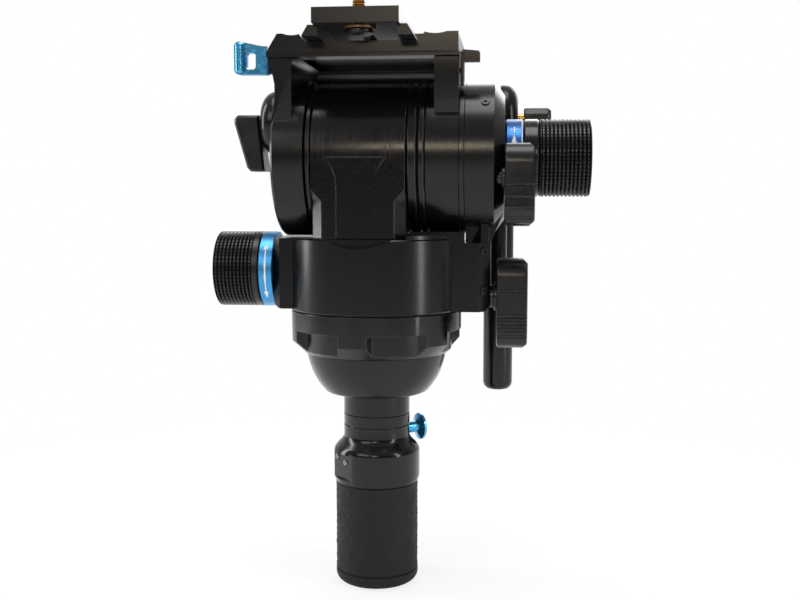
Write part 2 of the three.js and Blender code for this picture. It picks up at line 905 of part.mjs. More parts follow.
// Funnel-shaped panel: wide at the tilt axis, drawn in by curves, then straight down to the foot
function drumPanel(foot) {
  const flank = shares(curveSteps).map((share) => {
    const rest = 1 - share;
    const width = panelFootWidth + (panelTopWidth - panelFootWidth) * rest * rest;
    return [width * half, panelTop + (panelNeckHeight - panelTop) * share];
  });
  const shape = outline([
    ...flank.map(([across, height]) => [panelCentre + across, height]),
    [panelCentre + panelFootWidth * half, foot - overrun],
    [panelCentre - panelFootWidth * half, foot - overrun],
    ...flank.map(([across, height]) => [panelCentre - across, height]).reverse(),
  ]);
  return alongY(shape, -drumRadius - overrun, -drumRadius + panelDepth);
}

// Right cap: hollow drum with a sloping face, standing on the lug by its own pedestal
function capHousing() {
  const left = brakeRingFace + seat;
  const shell = turnedAlongX([
    [0, left],
    [drumRadius, left],
    [drumRadius, capShoulder],
    [capFaceRadius, capFace],
    [0, capFace],
  ], 0, tiltHeight);
  const pedestalShape = outline([
    [left, lugTop + seat],
    [lugFace, lugTop + seat],
    [capFace, pedestalSlantTop],
    [capFace, tiltHeight - dragRadius],
    [left, tiltHeight - dragRadius],
  ]);
  const pedestal = alongY(pedestalShape, -pedestalHalfWidth, pedestalHalfWidth);
  const bore = rodAlongX(capBore, left - overrun, capFace - capWall, 0, tiltHeight);
  const screwBore = rodAlongX(dragScrewRadius + seat, left, capFace + overrun, 0, tiltHeight);
  const lockBore = rodAlongX(
    tiltShaftRadius + seat, left - overrun, capFace + overrun, tiltLockSide, tiltLockHeight, smallSteps);
  return cut(join(shell, pedestal), bore, screwBore, lockBore);
}

// Strap round two circles, drawn as one outline
function strap([u1, v1, r1], [u2, v2, r2]) {
  const towards = Math.atan2(v2 - v1, u2 - u1) / degrees;
  const tangent = Math.acos((r1 - r2) / Math.hypot(u2 - u1, v2 - v1)) / degrees;
  return outline([
    ...roundEdge(u1, v1, r1, towards + tangent, towards + fullTurn - tangent, curveSteps * full),
    ...roundEdge(u2, v2, r2, towards - tangent, towards + tangent, curveSteps * full),
  ]);
}

// Left cheek: bevelled disc with an arm that is drawn in at its waist and flares to the platform
function leftCheek() {
  const disc = turnedAlongX([
    [0, leftCheekFace],
    [leftCheekRadius - cheekEdge, leftCheekFace],
    [leftCheekRadius, leftCheekFace + cheekEdge],
    [leftCheekRadius, leftCheekInner],
    [0, leftCheekInner],
  ], 0, tiltHeight);
  const footHeight = leftArmWaist * full - armTop;
  const outerSide = shares(curveSteps).map((share) => {
    const height = armTop + (footHeight - armTop) * share;
    const away = (height - leftArmWaist) / (armTop - leftArmWaist);
    const flare = (away > 0 ? leftArmTopFace : leftCheekFace) - leftArmWaistFace;
    return [leftArmWaistFace + flare * away * away, height];
  });
  const arm = alongY(outline([
    ...outerSide,
    [leftCheekFace, tiltHeight],
    [leftArmInner, tiltHeight],
    ...roundEdge(leftArmInner + leftArmRound, armTop - leftArmRound, leftArmRound, 180, 90),
  ]), -armHalfWidth, armHalfWidth);
  const axleBore = rodAlongX(
    axleRadius + seat, leftCheekFace + axleInset - seat, leftCheekInner + overrun, 0, tiltHeight);
  return cut(join(disc, arm), axleBore);
}

// Right cheek: disc, arm with sloping lower ends, and a lobe behind that carries the rosette
function rightCheek() {
  const inner = ringsRight + seat;
  const disc = rodAlongX(rightCheekRadius, inner, rightCheekFace, 0, tiltHeight);
  const arm = alongX(outline([
    [-armHalfWidth, armTop],
    [-armHalfWidth, rightArmBottom],
    [-armHalfWidth + rightArmChamfer, rightArmBottom - rightArmChamfer],
    [armHalfWidth - rightArmChamfer, rightArmBottom - rightArmChamfer],
    [armHalfWidth, rightArmBottom],
    [armHalfWidth, armTop],
  ]), rightArmInner, rightCheekFace);
  const lobe = alongX(
    strap([0, tiltHeight, rosetteSide * half], [rosetteSide, rosetteHeight, lobeRadius]),
    rightArmInner,
    rightCheekFace,
  );
  const axleBore = rodAlongX(axleRadius + seat, inner - overrun, rightCheekFace + overrun, 0, tiltHeight);
  const catchBore = rodAlongX(
    catchPinRadius + seat,
    rightCheekFace - catchPinDepth - seat,
    rightCheekFace + overrun,
    catchSide,
    catchPivotHeight,
    smallSteps,
  );
  return cut(join(disc, arm, lobe), axleBore, catchBore);
}

function rightRosette() {
  const bore = clampStudRadius + seat;
  const inner = rightCheekFace + seat;
  return bevelledRing(
    bore, rosetteRadius, inner, rosetteFace, ringEdge, rosetteSide, rosetteHeight, knobSteps);
}

// Bar clamp: round-edged disc against the rosette, with a socket below it for the bar
function barClamp() {
  const face = rosetteFace + seat;
  const bore = clampStudRadius + seat;
  const disc = turnedAlongX([
    [0, face],
    [clampRadius, face],
    [clampRadius, clampFace - clampRound],
    ...roundEdge(clampRadius - clampRound, clampFace - clampRound, clampRound, 0, 90),
    [0, clampFace],
  ], rosetteSide, rosetteHeight, knobSteps);
  const neck = block(
    [face, clampFace - cheekEdge],
    [rosetteSide - clampNeckHalfWidth, rosetteSide + clampNeckHalfWidth],
    [socketBottom + socketWall, rosetteHeight],
  );
  const socket = rod(barRadius + socketWall, socketBottom, socketTop, knobSteps)
    .translate(barCentre, rosetteSide, 0);
  const socketBore = rod(barRadius + seat, socketBottom - overrun, socketTop - socketWall, knobSteps)
    .translate(barCentre, rosetteSide, 0);
  const studBore = rodAlongX(
    bore, face - overrun, clampFace + overrun, rosetteSide, rosetteHeight, smallSteps);
  return cut(join(disc, neck, socket), socketBore, studBore);
}

// Pan bar with a domed lower end
function panBar() {
  const top = socketTop - socketWall - seat;
  const dome = barRadius * half;
  return turned([
    [0, barBottom],
    ...roundEdge(barRadius - dome, barBottom + dome, dome, -90, 0, edgeSteps),
    [barRadius, top],
    [0, top],
  ], knobSteps).translate(barCentre, rosetteSide, 0);
}

function clampStud() {
  const end = (clampStudFace + clampKnobFace) * half - seat;
  return rodAlongX(clampStudRadius, clampStudInner, end, rosetteSide, rosetteHeight, smallSteps);
}

function clampKnob() {
  const bore = clampStudRadius + seat;
  const boreEnd = (clampStudFace + clampKnobFace) * half;
  return turnedAlongX([
    [bore, clampStudFace],
    [clampKnobRadius - clampKnobEdge * half, clampStudFace],
    [clampKnobRadius, clampStudFace + clampKnobEdge * half],
    [clampKnobRadius, clampKnobFace - clampKnobEdge],
    [clampKnobRadius - clampKnobEdge, clampKnobFace],
    [0, clampKnobFace],
    [0, boreEnd],
    [bore, boreEnd],
  ], rosetteSide, rosetteHeight, smallSteps);
}

// Left rosette: round-edged boss on the outer face of the left cheek
function leftRosette() {
  const bore = clampStudRadius + seat;
  const face = leftRosetteFace;
  const rounded = roundEdge(leftRosetteRadius - leftRosetteRound, 0, leftRosetteRound, 0, 90)
    .map(([radius, along]) => [radius, face + leftRosetteRound - along]);
  return turnedAlongX([
    [bore, leftCheekFace - seat],
    [leftRosetteRadius, leftCheekFace - seat],
    ...rounded,
    [bore, face],
  ], leftRosetteSide, leftRosetteHeight, knobSteps);
}

// Wing knob of the left rosette: leans in and tapers towards its lower end
function leftWing() {
  const top = leftRosetteHeight + leftWingUp;
  const bottom = leftRosetteHeight - leftWingDown;
  const wing = alongY(outline([
    [leftWingInner, top],
    [leftWingOuter + leftWingCorner, top],
    [leftWingOuter, top - leftWingCorner],
    [leftWingOuter, leftRosetteHeight],
    [leftWingOuter + leftWingTaper, bottom + leftWingCorner],
    [leftWingOuter + leftWingTaper + leftWingCorner, bottom],
    [leftWingInner + leftWingLean, bottom],
  ]), leftRosetteSide - leftWingHalfWidth, leftRosetteSide + leftWingHalfWidth, wingEdge);
  const studFrom = leftWingInner - wingEdge;
  const studTo = leftCheekFace - cheekEdge;
  const stud = rodAlongX(clampStudRadius, studFrom, studTo, leftRosetteSide, leftRosetteHeight, smallSteps);
  return join(wing, stud);
}

// Half width of the camera plate at a height, along its dovetail flank
function plateHalfWidthAt(height) {
  const foot = deckTop + seat;
  const share = (height - foot) / (plateShoulder - foot);
  return (plateFootWidth + (plateWidth - plateFootWidth) * share) * half;
}

// Jaw outline in X and Z on one side of the plate; side is -1 on the left and 1 on the right
function jawOutline(side, outerFoot, outerTop, fit) {
  const innerFoot = plateCentre + side * (plateHalfWidthAt(deckTop) + fit);
  const innerTop = plateCentre + side * (plateHalfWidthAt(jawTop) + fit);
  const saddle = shares(curveSteps).map((share) => {
    const across = share * full - 1;
    const spread = half * half;
    const along = innerTop + (outerTop - innerTop) * (half + across * spread);
    return [along, jawTop - saddleDepth * (1 - across * across)];
  });
  return outline([
    [outerFoot, deckTop - lipReach],
    [innerFoot, deckTop - lipReach],
    [innerFoot, deckTop],
    [innerTop, jawTop],
    ...saddle,
    [outerTop, jawTop],
    [outerFoot, deckTop],
  ]);
}

// Platform: deck with a lip front and rear, two jaws, a pocket for the sliding jaw and a tongue
// for the quick-release lever
function platform() {
  const deck = block([deckLeft, deckRight], [-deckHalfDepth, deckHalfDepth], [deckBottom, deckTop]);
  const lip = block(
    [deckLeft + lipReach, deckRight - lipReach],
    [-deckHalfDepth - lipReach, deckHalfDepth + lipReach],
    [lipBottom, lipTop],
  );
  const leftOutline = jawOutline(-1, deckLeft, deckLeft + leftJawSlant, seat);
  const leftJaw = alongY(leftOutline, -deckHalfDepth, deckHalfDepth);
  const rightJaw = alongY(jawOutline(1, deckRight, deckRight, seat), -deckHalfDepth, deckHalfDepth);
  const tongue = alongZ(outline([
    [deckLeft + lipReach, leverPivotY + tongueHalfWidth],
    ...roundEdge(leverPivotX, leverPivotY, tongueHalfWidth, 90, 270),
    [deckLeft + lipReach, leverPivotY - tongueHalfWidth],
  ]), tongueBottom, tongueTop);
  const pocketLeft = slidingJawLeft() - slidingJawTravel - seat;
  const pocket = block(
    [pocketLeft, plateCentre],
    [slidingJawFront - seat, slidingJawRear + seat],
    [deckTop, jawTop + overrun],
  );
  const underside = block(
    [deckLeft + undersideInset, deckRight - undersideInset],
    [-deckHalfDepth + undersideInset, deckHalfDepth - undersideInset],
    [deckBottom - overrun, deckBottom + undersideDepth],
  );
  const pinBore = rod(leverPinRadius + seat, tongueBottom - overrun, tongueTop + overrun, smallSteps)
    .translate(leverPivotX, leverPivotY, 0);
  return cut(join(deck, lip, leftJaw, rightJaw, tongue), pocket, underside, pinBore, ...leadIns());
}

function slidingJawLeft() {
  return plateCentre - plateHalfWidthAt(deckTop) - slidingJawWidth;
}

// Flared mouths at the front ends of both jaws
function leadIns() {
  return [-1, 1].map((side) => {
    const foot = plateCentre + side * plateHalfWidthAt(jawTop);
    const shape = outline([
      [foot, deckTop],
      [foot + side * jawLeadIn * half, deckTop],
      [foot + side * jawLeadIn, jawTop + lipReach],
      [foot, jawTop + lipReach],
    ]);
    return alongY(shape, -deckHalfDepth - overrun, -deckHalfDepth + jawLeadIn);
  });
}

function slidingJaw() {
  const left = slidingJawLeft();
  const bottom = deckTop + seat;
  const inner = (height) => plateCentre - plateHalfWidthAt(height) - seat;
  const shape = outline([
    [left, bottom],
    [inner(bottom), bottom],
    [inner(jawTop - lipReach), jawTop - lipReach],
    [left, jawTop - lipReach],
  ]);
  return alongY(shape, slidingJawFront, slidingJawRear);
}

// Camera plate: dovetail section with a deep channel below and a slot for the screw
function cameraPlate() {
  const bottom = deckTop + seat;
  const section = outline([
    [plateCentre - plateFootWidth * half, bottom],
    [plateCentre - channelWidth * half, bottom],
    [plateCentre - channelWidth * half, channelTop],
    [plateCentre + channelWidth * half, channelTop],
    [plateCentre + channelWidth * half, bottom],
    [plateCentre + plateFootWidth * half, bottom],
    [plateCentre + plateWidth * half, plateShoulder],
    [plateCentre + plateWidth * half, plateTop],
    [plateCentre - plateWidth * half, plateTop],
    [plateCentre - plateWidth * half, plateShoulder],
  ]);
  const slotHalf = slotWidth * half;
  const slot = alongZ(
    strap([plateCentre, slotFront + slotHalf, slotHalf], [plateCentre, slotRear - slotHalf, slotHalf]),
    channelTop - overrun,
    plateTop + overrun,
  );
  return cut(alongY(section, plateFront, plateRear), slot);
}

function screwWasher() {
  const top = channelTop - seat;
  const bore = screwRadius + seat;
  return turned([
    [bore, top - washerHeight],
    [washerRadius, top - washerHeight],
    [washerRadius, top],
    [bore, top],
  ], smallSteps).translate(plateCentre, screwSide, 0);
}

function cameraScrew() {
  const headTop = channelTop - seat - washerHeight - seat;
  const tipEdge = screwRadius * half * half;
  return turned([
    [0, headTop - screwHeadHeight],
    [screwHeadRadius, headTop - screwHeadHeight],
    [screwHeadRadius, headTop],
    [screwRadius, headTop],
    [screwRadius, screwTop - tipEdge],
    [screwRadius - tipEdge, screwTop],
    [0, screwTop],
  ], smallSteps).translate(plateCentre, screwSide, 0);
}

// Quick-release lever: loop with a thick rounded bar, and a hub slotted for the tongue
function releaseLever() {
  const loop = alongY(outline([
    [leverHead + leverBarWidth, leverTop - leverSlope],
    [leverTail, leverTop - leverSlope * full],
    [leverTail, leverBottom],
    [leverHead + leverBarWidth, leverBottom + leverSlope],
  ]), leverFront, leverFront + leverThickness);
  const barInner = leverHead + leverBarWidth;
  const outerRound = leverHead + leverRound;
  const innerRound = barInner - leverRound;
  const upperRound = leverTop - leverRound;
  const lowerRound = leverBottom + leverRound;
  const bar = alongY(outline([
    ...roundEdge(outerRound, upperRound, leverRound, 180, 90, edgeSteps),
    ...roundEdge(innerRound, upperRound, leverRound, 90, 0, edgeSteps),
    [barInner, upperRound - leverSlope],
    [barInner + leverRound * half, upperRound - leverSlope],
    [barInner + leverRound * half, lowerRound + leverSlope],
    [barInner, lowerRound + leverSlope],
    ...roundEdge(innerRound, lowerRound, leverRound, 0, -90, edgeSteps),
    ...roundEdge(outerRound, lowerRound, leverRound, -90, -180, edgeSteps),
  ]), leverFront, leverFront + leverThickness);
  const hub = rod(leverHubRadius, tongueBottom - leverBarWidth, tongueTop + leverSlope * full, smallSteps)
    .translate(leverPivotX, leverPivotY, 0);
  const hole = block(
    [barInner, barInner + leverWindowWidth],
    [leverFront - overrun, leverFront + leverThickness + overrun],
    [leverWindowBottom, leverWindowTop],
  );
  const slot = block(
    [leverPivotX - tongueHalfWidth - seat, leverTail + overrun],
    [leverPivotY - tongueHalfWidth - seat, leverPivotY + overrun],
    [tongueBottom - seat, tongueTop + seat],
  );
  const pinBore = rod(leverPinRadius + seat, leverBottom, leverTop, smallSteps)
    .translate(leverPivotX, leverPivotY, 0);
  return cut(join(loop, bar, hub), hole, slot, pinBore);
}

function leverPin() {
  const bottom = tongueBottom - leverBarWidth + seat;
  const top = tongueTop + leverSlope * full - seat;
  return rod(leverPinRadius, bottom, top, smallSteps).translate(leverPivotX, leverPivotY, 0);
}

// Safety lever: thin upright on the arm with a bent-out finger tab and a turned-up tip
function safetyLever() {
  const inner = rightCheekFace + seat;
  const outer = inner + catchThickness;
  const front = catchSide - catchHalfWidth;
  const rear = catchSide + catchHalfWidth;
  const upright = block([inner, outer], [front, rear], [catchBottom, catchTop]);
  const tab = alongY(outline([
    [inner, catchShelf],
    [catchReach, catchShelf],
    [catchReach, catchShelf + catchShelfThickness + catchTip],
    [catchReach - catchTip, catchShelf + catchShelfThickness + catchTip],
    [catchReach - catchTip, catchShelf + catchShelfThickness],
    [inner, catchShelf + catchShelfThickness],
  ]), front, rear);
  const pin = rodAlongX(
    catchPinRadius, rightCheekFace - catchPinDepth, outer, catchSide, catchPivotHeight, smallSteps);
  return join(upright, tab, pin);
}

// Base and grip
add('half_ball', halfBall(), anodised);
add('base_ring', baseRing(), anodised);
add('tie_stud', tieStud(), steel);
add('neck_stub', neckStub(), anodised);
add('clamp_collar', clampCollar(), satinBlack);
add('safety_pin', safetyPin(), skyBlue);
add('tie_grip', tieGrip(), rubber);
add('grip_core', gripCore(), steel);

// Pan axis
add('pan_spindle', panSpindle(), steel);
add('pan_bearing', turned([
  [spindleRadius + seat, cupTop],
  [bearingSeatRadius - seat, cupTop],
  [bearingSeatRadius - seat, spindleTop],
  [spindleRadius + seat, spindleTop],
], hiddenSteps), steel);
add('pan_drag_disc', turned([
  [dragDiscBore, spindleDrumTop + seat],
  [cupRadius - seat, spindleDrumTop + seat],
  [cupRadius - seat, cupTop - seat],
  [dragDiscBore, cupTop - seat],
]), bronze);
add('pan_housing', panHousing(), anodised);
add('pan_drag_ring', bevelledRing(
  dragScrewRadius + seat, dragRadius, panRingFace, panBossFace - seat, ringEdge, 0, panDragHeight), skyBlue);
add('pan_drag_knob', ridgedKnob(
  panRingFace - seat, panKnobFace, panScrewEnd, panKnobBand, panRidgeCount, panDragHeight), knobBlack);
add('pan_brake_pad', rodAlongX(
  lockShaftRadius, padFace, panShaftEnd - seat, panLockSide, panLockHeight, smallSteps), polymer);
add('pan_lock_knob', wingKnob(
  panLockSide,
  panLockHeight,
  panWingUp,
  panWingDown,
  panWingInner,
  panWingOuter,
  lockShaftRadius,
  panShaftEnd,
), knobBlack);

// Tilt drum, rings and cap
add('tilt_drum', tiltDrum(), satinBlack);
add('drum_ring_left', bevelledRing(
  springBore, drumRadius, leftCheekInner + seat, drumLeft, ringEdge, 0, tiltHeight), anodised);
add('drum_ring_inner', bevelledRing(
  springBore, drumRadius, drumRight + seat, ringSplit, ringEdge, 0, tiltHeight), anodised);
add('drum_ring_outer', bevelledRing(
  springBore, drumRadius, ringSplit + seat, ringsRight, ringEdge, 0, tiltHeight), anodised);
add('tilt_bearing_left', tiltSleeve(
  axleRadius + seat, drumBore - seat, drumLeft + seat, drumLeft + bearingWidth), steel);
add('tilt_bearing_right', tiltSleeve(
  axleRadius + seat, drumBore - seat, drumRight - bearingWidth, drumRight), steel);
add('counterbalance_spring', tiltSleeve(
  springBore, springRadius, drumLeft + bearingWidth + seat, drumRight - bearingWidth - seat), steel);
add('tilt_brake_ring', tiltSleeve(
  capBore, drumRadius, rightCheekFace + seat, brakeRingFace, turnSteps), polymer);
add('cap_housing', capHousing(), anodised);
add('tilt_drag_cartridge', tiltSleeve(
  axleRadius + seat, capBore - seat, brakeRingFace + seat, capFace - capWall - seat), bronze);
add('tilt_drag_ring', bevelledRing(
  dragScrewRadius + seat, dragRadius, capFace + seat, tiltRingFace, ringEdge, 0, tiltHeight), skyBlue);
add('tilt_drag_collar', bevelledRing(
  dragScrewRadius + seat, dragRadius, tiltRingFace + seat, tiltCollarFace, ringEdge, 0, tiltHeight,
), anodised);
add('tilt_drag_knob', ridgedKnob(
  tiltCollarFace + seat,
  tiltKnobFace,
  capFace - capWall + seat,
  tiltKnobBand,
  tiltRidgeCount,
  tiltHeight,
), knobBlack);
add('tilt_brake_pad', rodAlongX(
  tiltShaftRadius,
  brakeRingFace + seat,
  tiltShaftEnd - seat,
  tiltLockSide,
  tiltLockHeight,
  smallSteps,
), polymer);
add('tilt_lock_knob', wingKnob(
  tiltLockSide,
  tiltLockHeight,
  tiltWingUp,
  tiltWingDown,
  tiltWingInner,
  tiltWingOuter,
  tiltShaftRadius,
  tiltShaftEnd,
), knobBlack);

// Cradle
add('left_cheek', leftCheek(), anodised);
add('right_cheek', rightCheek(), anodised);
add('tilt_axle', rodAlongX(
  axleRadius, leftCheekFace + axleInset, axleEnd, 0, tiltHeight, hiddenSteps), steel);
add('platform', platform(), anodised);
add('left_rosette', leftRosette(), anodised);
add('left_wing_knob', leftWing(), knobBlack);
add('right_rosette', rightRosette(), anodised);
add('bar_clamp', barClamp(), anodised);
add('pan_bar', panBar(), satinBlack);
add('clamp_stud', clampStud(), brass);
add('clamp_knob', clampKnob(), knobBlack);

// Plate and its levers
add('camera_plate', cameraPlate(), satinBlack);
add('screw_washer', screwWasher(), bronze);
add('camera_screw', cameraScrew(), brass);
add('sliding_jaw', slidingJaw(), satinBlack);
add('release_lever', releaseLever(), skyBlue);
add('lever_pin', leverPin(), steel);
add('safety_lever', safetyLever(), satinBlack);

export default head;
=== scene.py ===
"""Looks of a fluid video head with a half ball base: black anodised aluminium, moulded knobs, a rubber
grip, light blue anodised rings and levers, and brass and steel small parts.
Metres, +Z up, the front is -Y, the tilt axis runs along X and the pan axis along Z."""

import json
import math

import bpy
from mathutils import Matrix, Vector

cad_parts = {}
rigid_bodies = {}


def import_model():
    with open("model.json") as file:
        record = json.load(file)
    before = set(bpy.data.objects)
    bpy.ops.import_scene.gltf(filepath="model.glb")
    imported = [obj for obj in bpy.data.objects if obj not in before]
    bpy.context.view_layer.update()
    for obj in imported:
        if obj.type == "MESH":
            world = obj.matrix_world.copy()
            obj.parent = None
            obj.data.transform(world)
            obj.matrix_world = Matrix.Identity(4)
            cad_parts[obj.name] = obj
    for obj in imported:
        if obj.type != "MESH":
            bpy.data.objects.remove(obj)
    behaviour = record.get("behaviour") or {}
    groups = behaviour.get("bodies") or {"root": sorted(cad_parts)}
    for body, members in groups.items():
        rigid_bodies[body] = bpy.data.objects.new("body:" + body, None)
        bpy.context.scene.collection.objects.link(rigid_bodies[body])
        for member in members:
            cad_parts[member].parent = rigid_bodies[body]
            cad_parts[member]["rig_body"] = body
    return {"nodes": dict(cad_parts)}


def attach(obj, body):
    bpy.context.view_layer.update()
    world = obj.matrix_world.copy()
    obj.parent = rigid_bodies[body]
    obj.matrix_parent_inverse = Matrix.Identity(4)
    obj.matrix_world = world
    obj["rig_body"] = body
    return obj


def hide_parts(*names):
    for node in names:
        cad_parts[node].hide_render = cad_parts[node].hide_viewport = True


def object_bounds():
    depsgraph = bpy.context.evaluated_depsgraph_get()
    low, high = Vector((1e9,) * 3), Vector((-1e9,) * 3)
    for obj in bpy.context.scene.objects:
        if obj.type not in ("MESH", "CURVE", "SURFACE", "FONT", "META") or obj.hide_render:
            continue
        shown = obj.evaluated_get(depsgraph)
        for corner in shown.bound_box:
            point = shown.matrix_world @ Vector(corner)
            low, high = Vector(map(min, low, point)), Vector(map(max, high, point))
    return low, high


for leftover in list(bpy.data.objects):
    bpy.data.objects.remove(leftover)
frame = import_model()
cad_low, cad_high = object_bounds()

MM = 0.001
scene = bpy.context.scene
scene.view_settings.view_transform = "Standard"

# Camera where the photograph was taken from, with the focal length fitted to it in pixels
PHOTO_WIDTH = 800
FOCAL_PIXELS = 1050
camera_data = bpy.data.cameras.new("camera")
camera_data.sensor_width = 36
camera_data.lens = 36 * FOCAL_PIXELS / PHOTO_WIDTH
camera_data.clip_start = 0.01
camera = bpy.data.objects.new("camera", camera_data)
camera.location = (0.0700, -0.5557, 0.0784)
camera.rotation_euler = (math.radians(84.29), 0, math.radians(5.9))
scene.collection.objects.link(camera)
scene.camera = camera

# Places on the object, in millimetres
TILT_HEIGHT = 97.5
PAN_DRAG_HEIGHT = 39
DRAG_RADIUS = 20
BALL_RADIUS = 37.5
CAMERA_SCREW = (-2.5, -46, 0)
BAR_SCREW = (0, 58, 122)
BAR = (64.3, 58, 0)
LEFT_ROSETTE = (0, 30, 118)

# What counts as an edge of a faceted circle, and how far its ends may lie apart in radius or height
SAME_PLACE = 0.004 * MM
SMALLEST_BORE = 1.2 * MM
NARROWEST_EDGE, WIDEST_EDGE = math.radians(1), math.radians(24)


# Nodes of materials

def linear(code):
    """An sRGB hex colour as the linear colour that a shader takes."""
    shares = [int(code[i:i + 2], 16) / 255 for i in (0, 2, 4)]
    return [s / 12.92 if s <= 0.04045 else ((s + 0.055) / 1.055) ** 2.4 for s in shares] + [1.0]


def put(tree, kind, values=None, links=None, **settings):
    """Adds one node with its settings, the values of its sockets and the links into them."""
    made = tree.nodes.new(kind)
    for name, value in settings.items():
        setattr(made, name, value)
    for socket, value in (values or {}).items():
        made.inputs[socket].default_value = value
    for socket, source in (links or {}).items():
        tree.links.new(source, made.inputs[socket])
    return made


def start(name):
    """An empty material, its tree and the object's own coordinates."""
    material = bpy.data.materials.new(name)
    material.use_nodes = True
    tree = material.node_tree
    tree.nodes.clear()
    place = put(tree, "ShaderNodeTexCoord").outputs["Object"]
    return material, tree, place


def close(material, tree, values, links):
    """Ends a material in its shader."""
    shader = put(tree, "ShaderNodeBsdfPrincipled", values, links)
    put(tree, "ShaderNodeOutputMaterial", links={"Surface": shader.outputs["BSDF"]})
    return material


def per_mm(size):
    """Scale of a texture whose features are this many millimetres apart."""
    return 1 / (size * MM)


def blasted(name, dark, light, roughness, metallic, specular, grain, depth):
    """Aluminium, blasted with beads and anodised: an even fine grain under a thin glassy layer."""
    material, tree, place = start(name)
    fine = put(tree, "ShaderNodeTexNoise", {"Scale": per_mm(grain), "Detail": 3}, {"Vector": place})
    wide = put(tree, "ShaderNodeTexNoise", {"Scale": per_mm(22), "Detail": 2}, {"Vector": place})
    tone = put(tree, "ShaderNodeMix", {"A": linear(dark), "B": linear(light)}, data_type="RGBA")
    tree.links.new(wide.outputs["Fac"], tone.inputs["Factor"])
    gloss = put(tree, "ShaderNodeMapRange",
                {"From Min": 0.3, "From Max": 0.7, "To Min": roughness - 0.05, "To Max": roughness + 0.06},
                {"Value": fine.outputs["Fac"]})
    relief = put(tree, "ShaderNodeBump", {"Strength": 0.16, "Distance": depth * MM},
                 {"Height": fine.outputs["Fac"]})
    return close(material, tree, {"Metallic": metallic, "Specular IOR Level": specular},
                 {"Base Color": tone.outputs[2], "Roughness": gloss.outputs[0], "Normal": relief.outputs[0]})


def lathed(name, dark, light, roughness, metallic, specular, axis, centre, feed):
    """Turned on a lathe, then anodised or left bare: fine rings round the axis that stretch highlights."""
    material, tree, place = start(name)
    moved = put(tree, "ShaderNodeMapping", {"Location": [-c * MM for c in centre]}, {"Vector": place})
    split = put(tree, "ShaderNodeSeparateXYZ", links={"Vector": moved.outputs[0]})
    around = [split.outputs[i] for i in range(3) if i != axis]
    squares = [put(tree, "ShaderNodeMath", links={0: a, 1: a}, operation="MULTIPLY").outputs[0]
               for a in around]
    total = put(tree, "ShaderNodeMath", links={0: squares[0], 1: squares[1]}, operation="ADD")
    radius = put(tree, "ShaderNodeMath", links={0: total.outputs[0]}, operation="SQRT")
    rings = put(tree, "ShaderNodeCombineXYZ", links={"X": split.outputs[axis], "Y": radius.outputs[0]})
    line = put(tree, "ShaderNodeTexNoise", {"Scale": per_mm(feed), "Detail": 2}, {"Vector": rings.outputs[0]})
    wide = put(tree, "ShaderNodeTexNoise", {"Scale": per_mm(18), "Detail": 2}, {"Vector": place})
    tone = put(tree, "ShaderNodeMix", {"A": linear(dark), "B": linear(light)}, data_type="RGBA")
    tree.links.new(wide.outputs["Fac"], tone.inputs["Factor"])
    gloss = put(tree, "ShaderNodeMapRange",
                {"From Min": 0.3, "From Max": 0.7, "To Min": roughness - 0.06, "To Max": roughness + 0.08},
                {"Value": line.outputs["Fac"]})
    relief = put(tree, "ShaderNodeBump", {"Strength": 0.2, "Distance": 0.04 * MM},
                 {"Height": line.outputs["Fac"]})
    return close(material, tree, {"Metallic": metallic, "Specular IOR Level": specular},
                 {"Base Color": tone.outputs[2], "Roughness": gloss.outputs[0], "Normal": relief.outputs[0]})


def moulded(name, dark, light, roughness, specular, grain, depth):
    """Moulded polymer or rubber: the pebbled grain of its mould, with soft spread highlights."""
    material, tree, place = start(name)
    cells = put(tree, "ShaderNodeTexVoronoi", {"Scale": per_mm(grain)}, {"Vector": place},
                feature="SMOOTH_F1")
    wide = put(tree, "ShaderNodeTexNoise", {"Scale": per_mm(9), "Detail": 3}, {"Vector": place})
    tone = put(tree, "ShaderNodeMix", {"A": linear(dark), "B": linear(light)}, data_type="RGBA")
    tree.links.new(wide.outputs["Fac"], tone.inputs["Factor"])
    gloss = put(tree, "ShaderNodeMapRange",
                {"From Min": 0.3, "From Max": 0.7, "To Min": roughness - 0.05, "To Max": roughness + 0.05},
                {"Value": wide.outputs["Fac"]})
    relief = put(tree, "ShaderNodeBump", {"Strength": 0.3, "Distance": depth * MM},
                 {"Height": cells.outputs["Distance"]})
    return close(material, tree, {"Metallic": 0, "Specular IOR Level": specular},
                 {"Base Color": tone.outputs[2], "Roughness": gloss.outputs[0], "Normal": relief.outputs[0]})


TILT = (0, 0, TILT_HEIGHT)
PAN_DRAG = (0, 0, PAN_DRAG_HEIGHT)
ON_X, ON_Y, ON_Z = 0, 1, 2

# Grain and feed are drawn coarser than real ones, which are near 0.1 mm and would not show in the render
body_black = blasted("black_anodised_aluminium_blasted", "0a0a0b", "0e0e10", 0.23, 0.1, 0.34, 0.5, 0.02)
plate_black = blasted("black_anodised_aluminium_fine_blasted", "0b0b0d", "101012", 0.3, 0.1, 0.32, 0.4, 0.03)
# Lighter, glossier copy of the black anodise for the bevels: a painted highlight along the edges
edge_painted_highlight = blasted("black_anodised_aluminium_edge_painted_highlight", "26262a", "323237", 0.18, 0.6, 0.5, 0.6, 0.02)
# Light grey metal for the rib under the platform: a painted reflection of the pale room in place of a dark
# finish
rib_painted_reflection = blasted("aluminium_milled_painted_reflection_grey", "717176", "85858b", 0.3, 0.9, 0.5, 0.6, 0.02)
drum_black = lathed("black_anodised_aluminium_turned_on_x", "09090a", "0d0d0f", 0.2, 0.1, 0.36,
                    ON_X, TILT, 0.45)
turned_black = lathed("black_anodised_aluminium_turned_on_z", "09090a", "0d0d0f", 0.18, 0.1, 0.4,
                      ON_Z, (0, 0, 0), 0.45)
knob_black = moulded("black_nylon_moulded", "0b0b0c", "121213", 0.3, 0.4, 0.5, 0.02)
grip_black = moulded("black_rubber_moulded", "0f0f10", "181819", 0.62, 0.3, 0.7, 0.08)
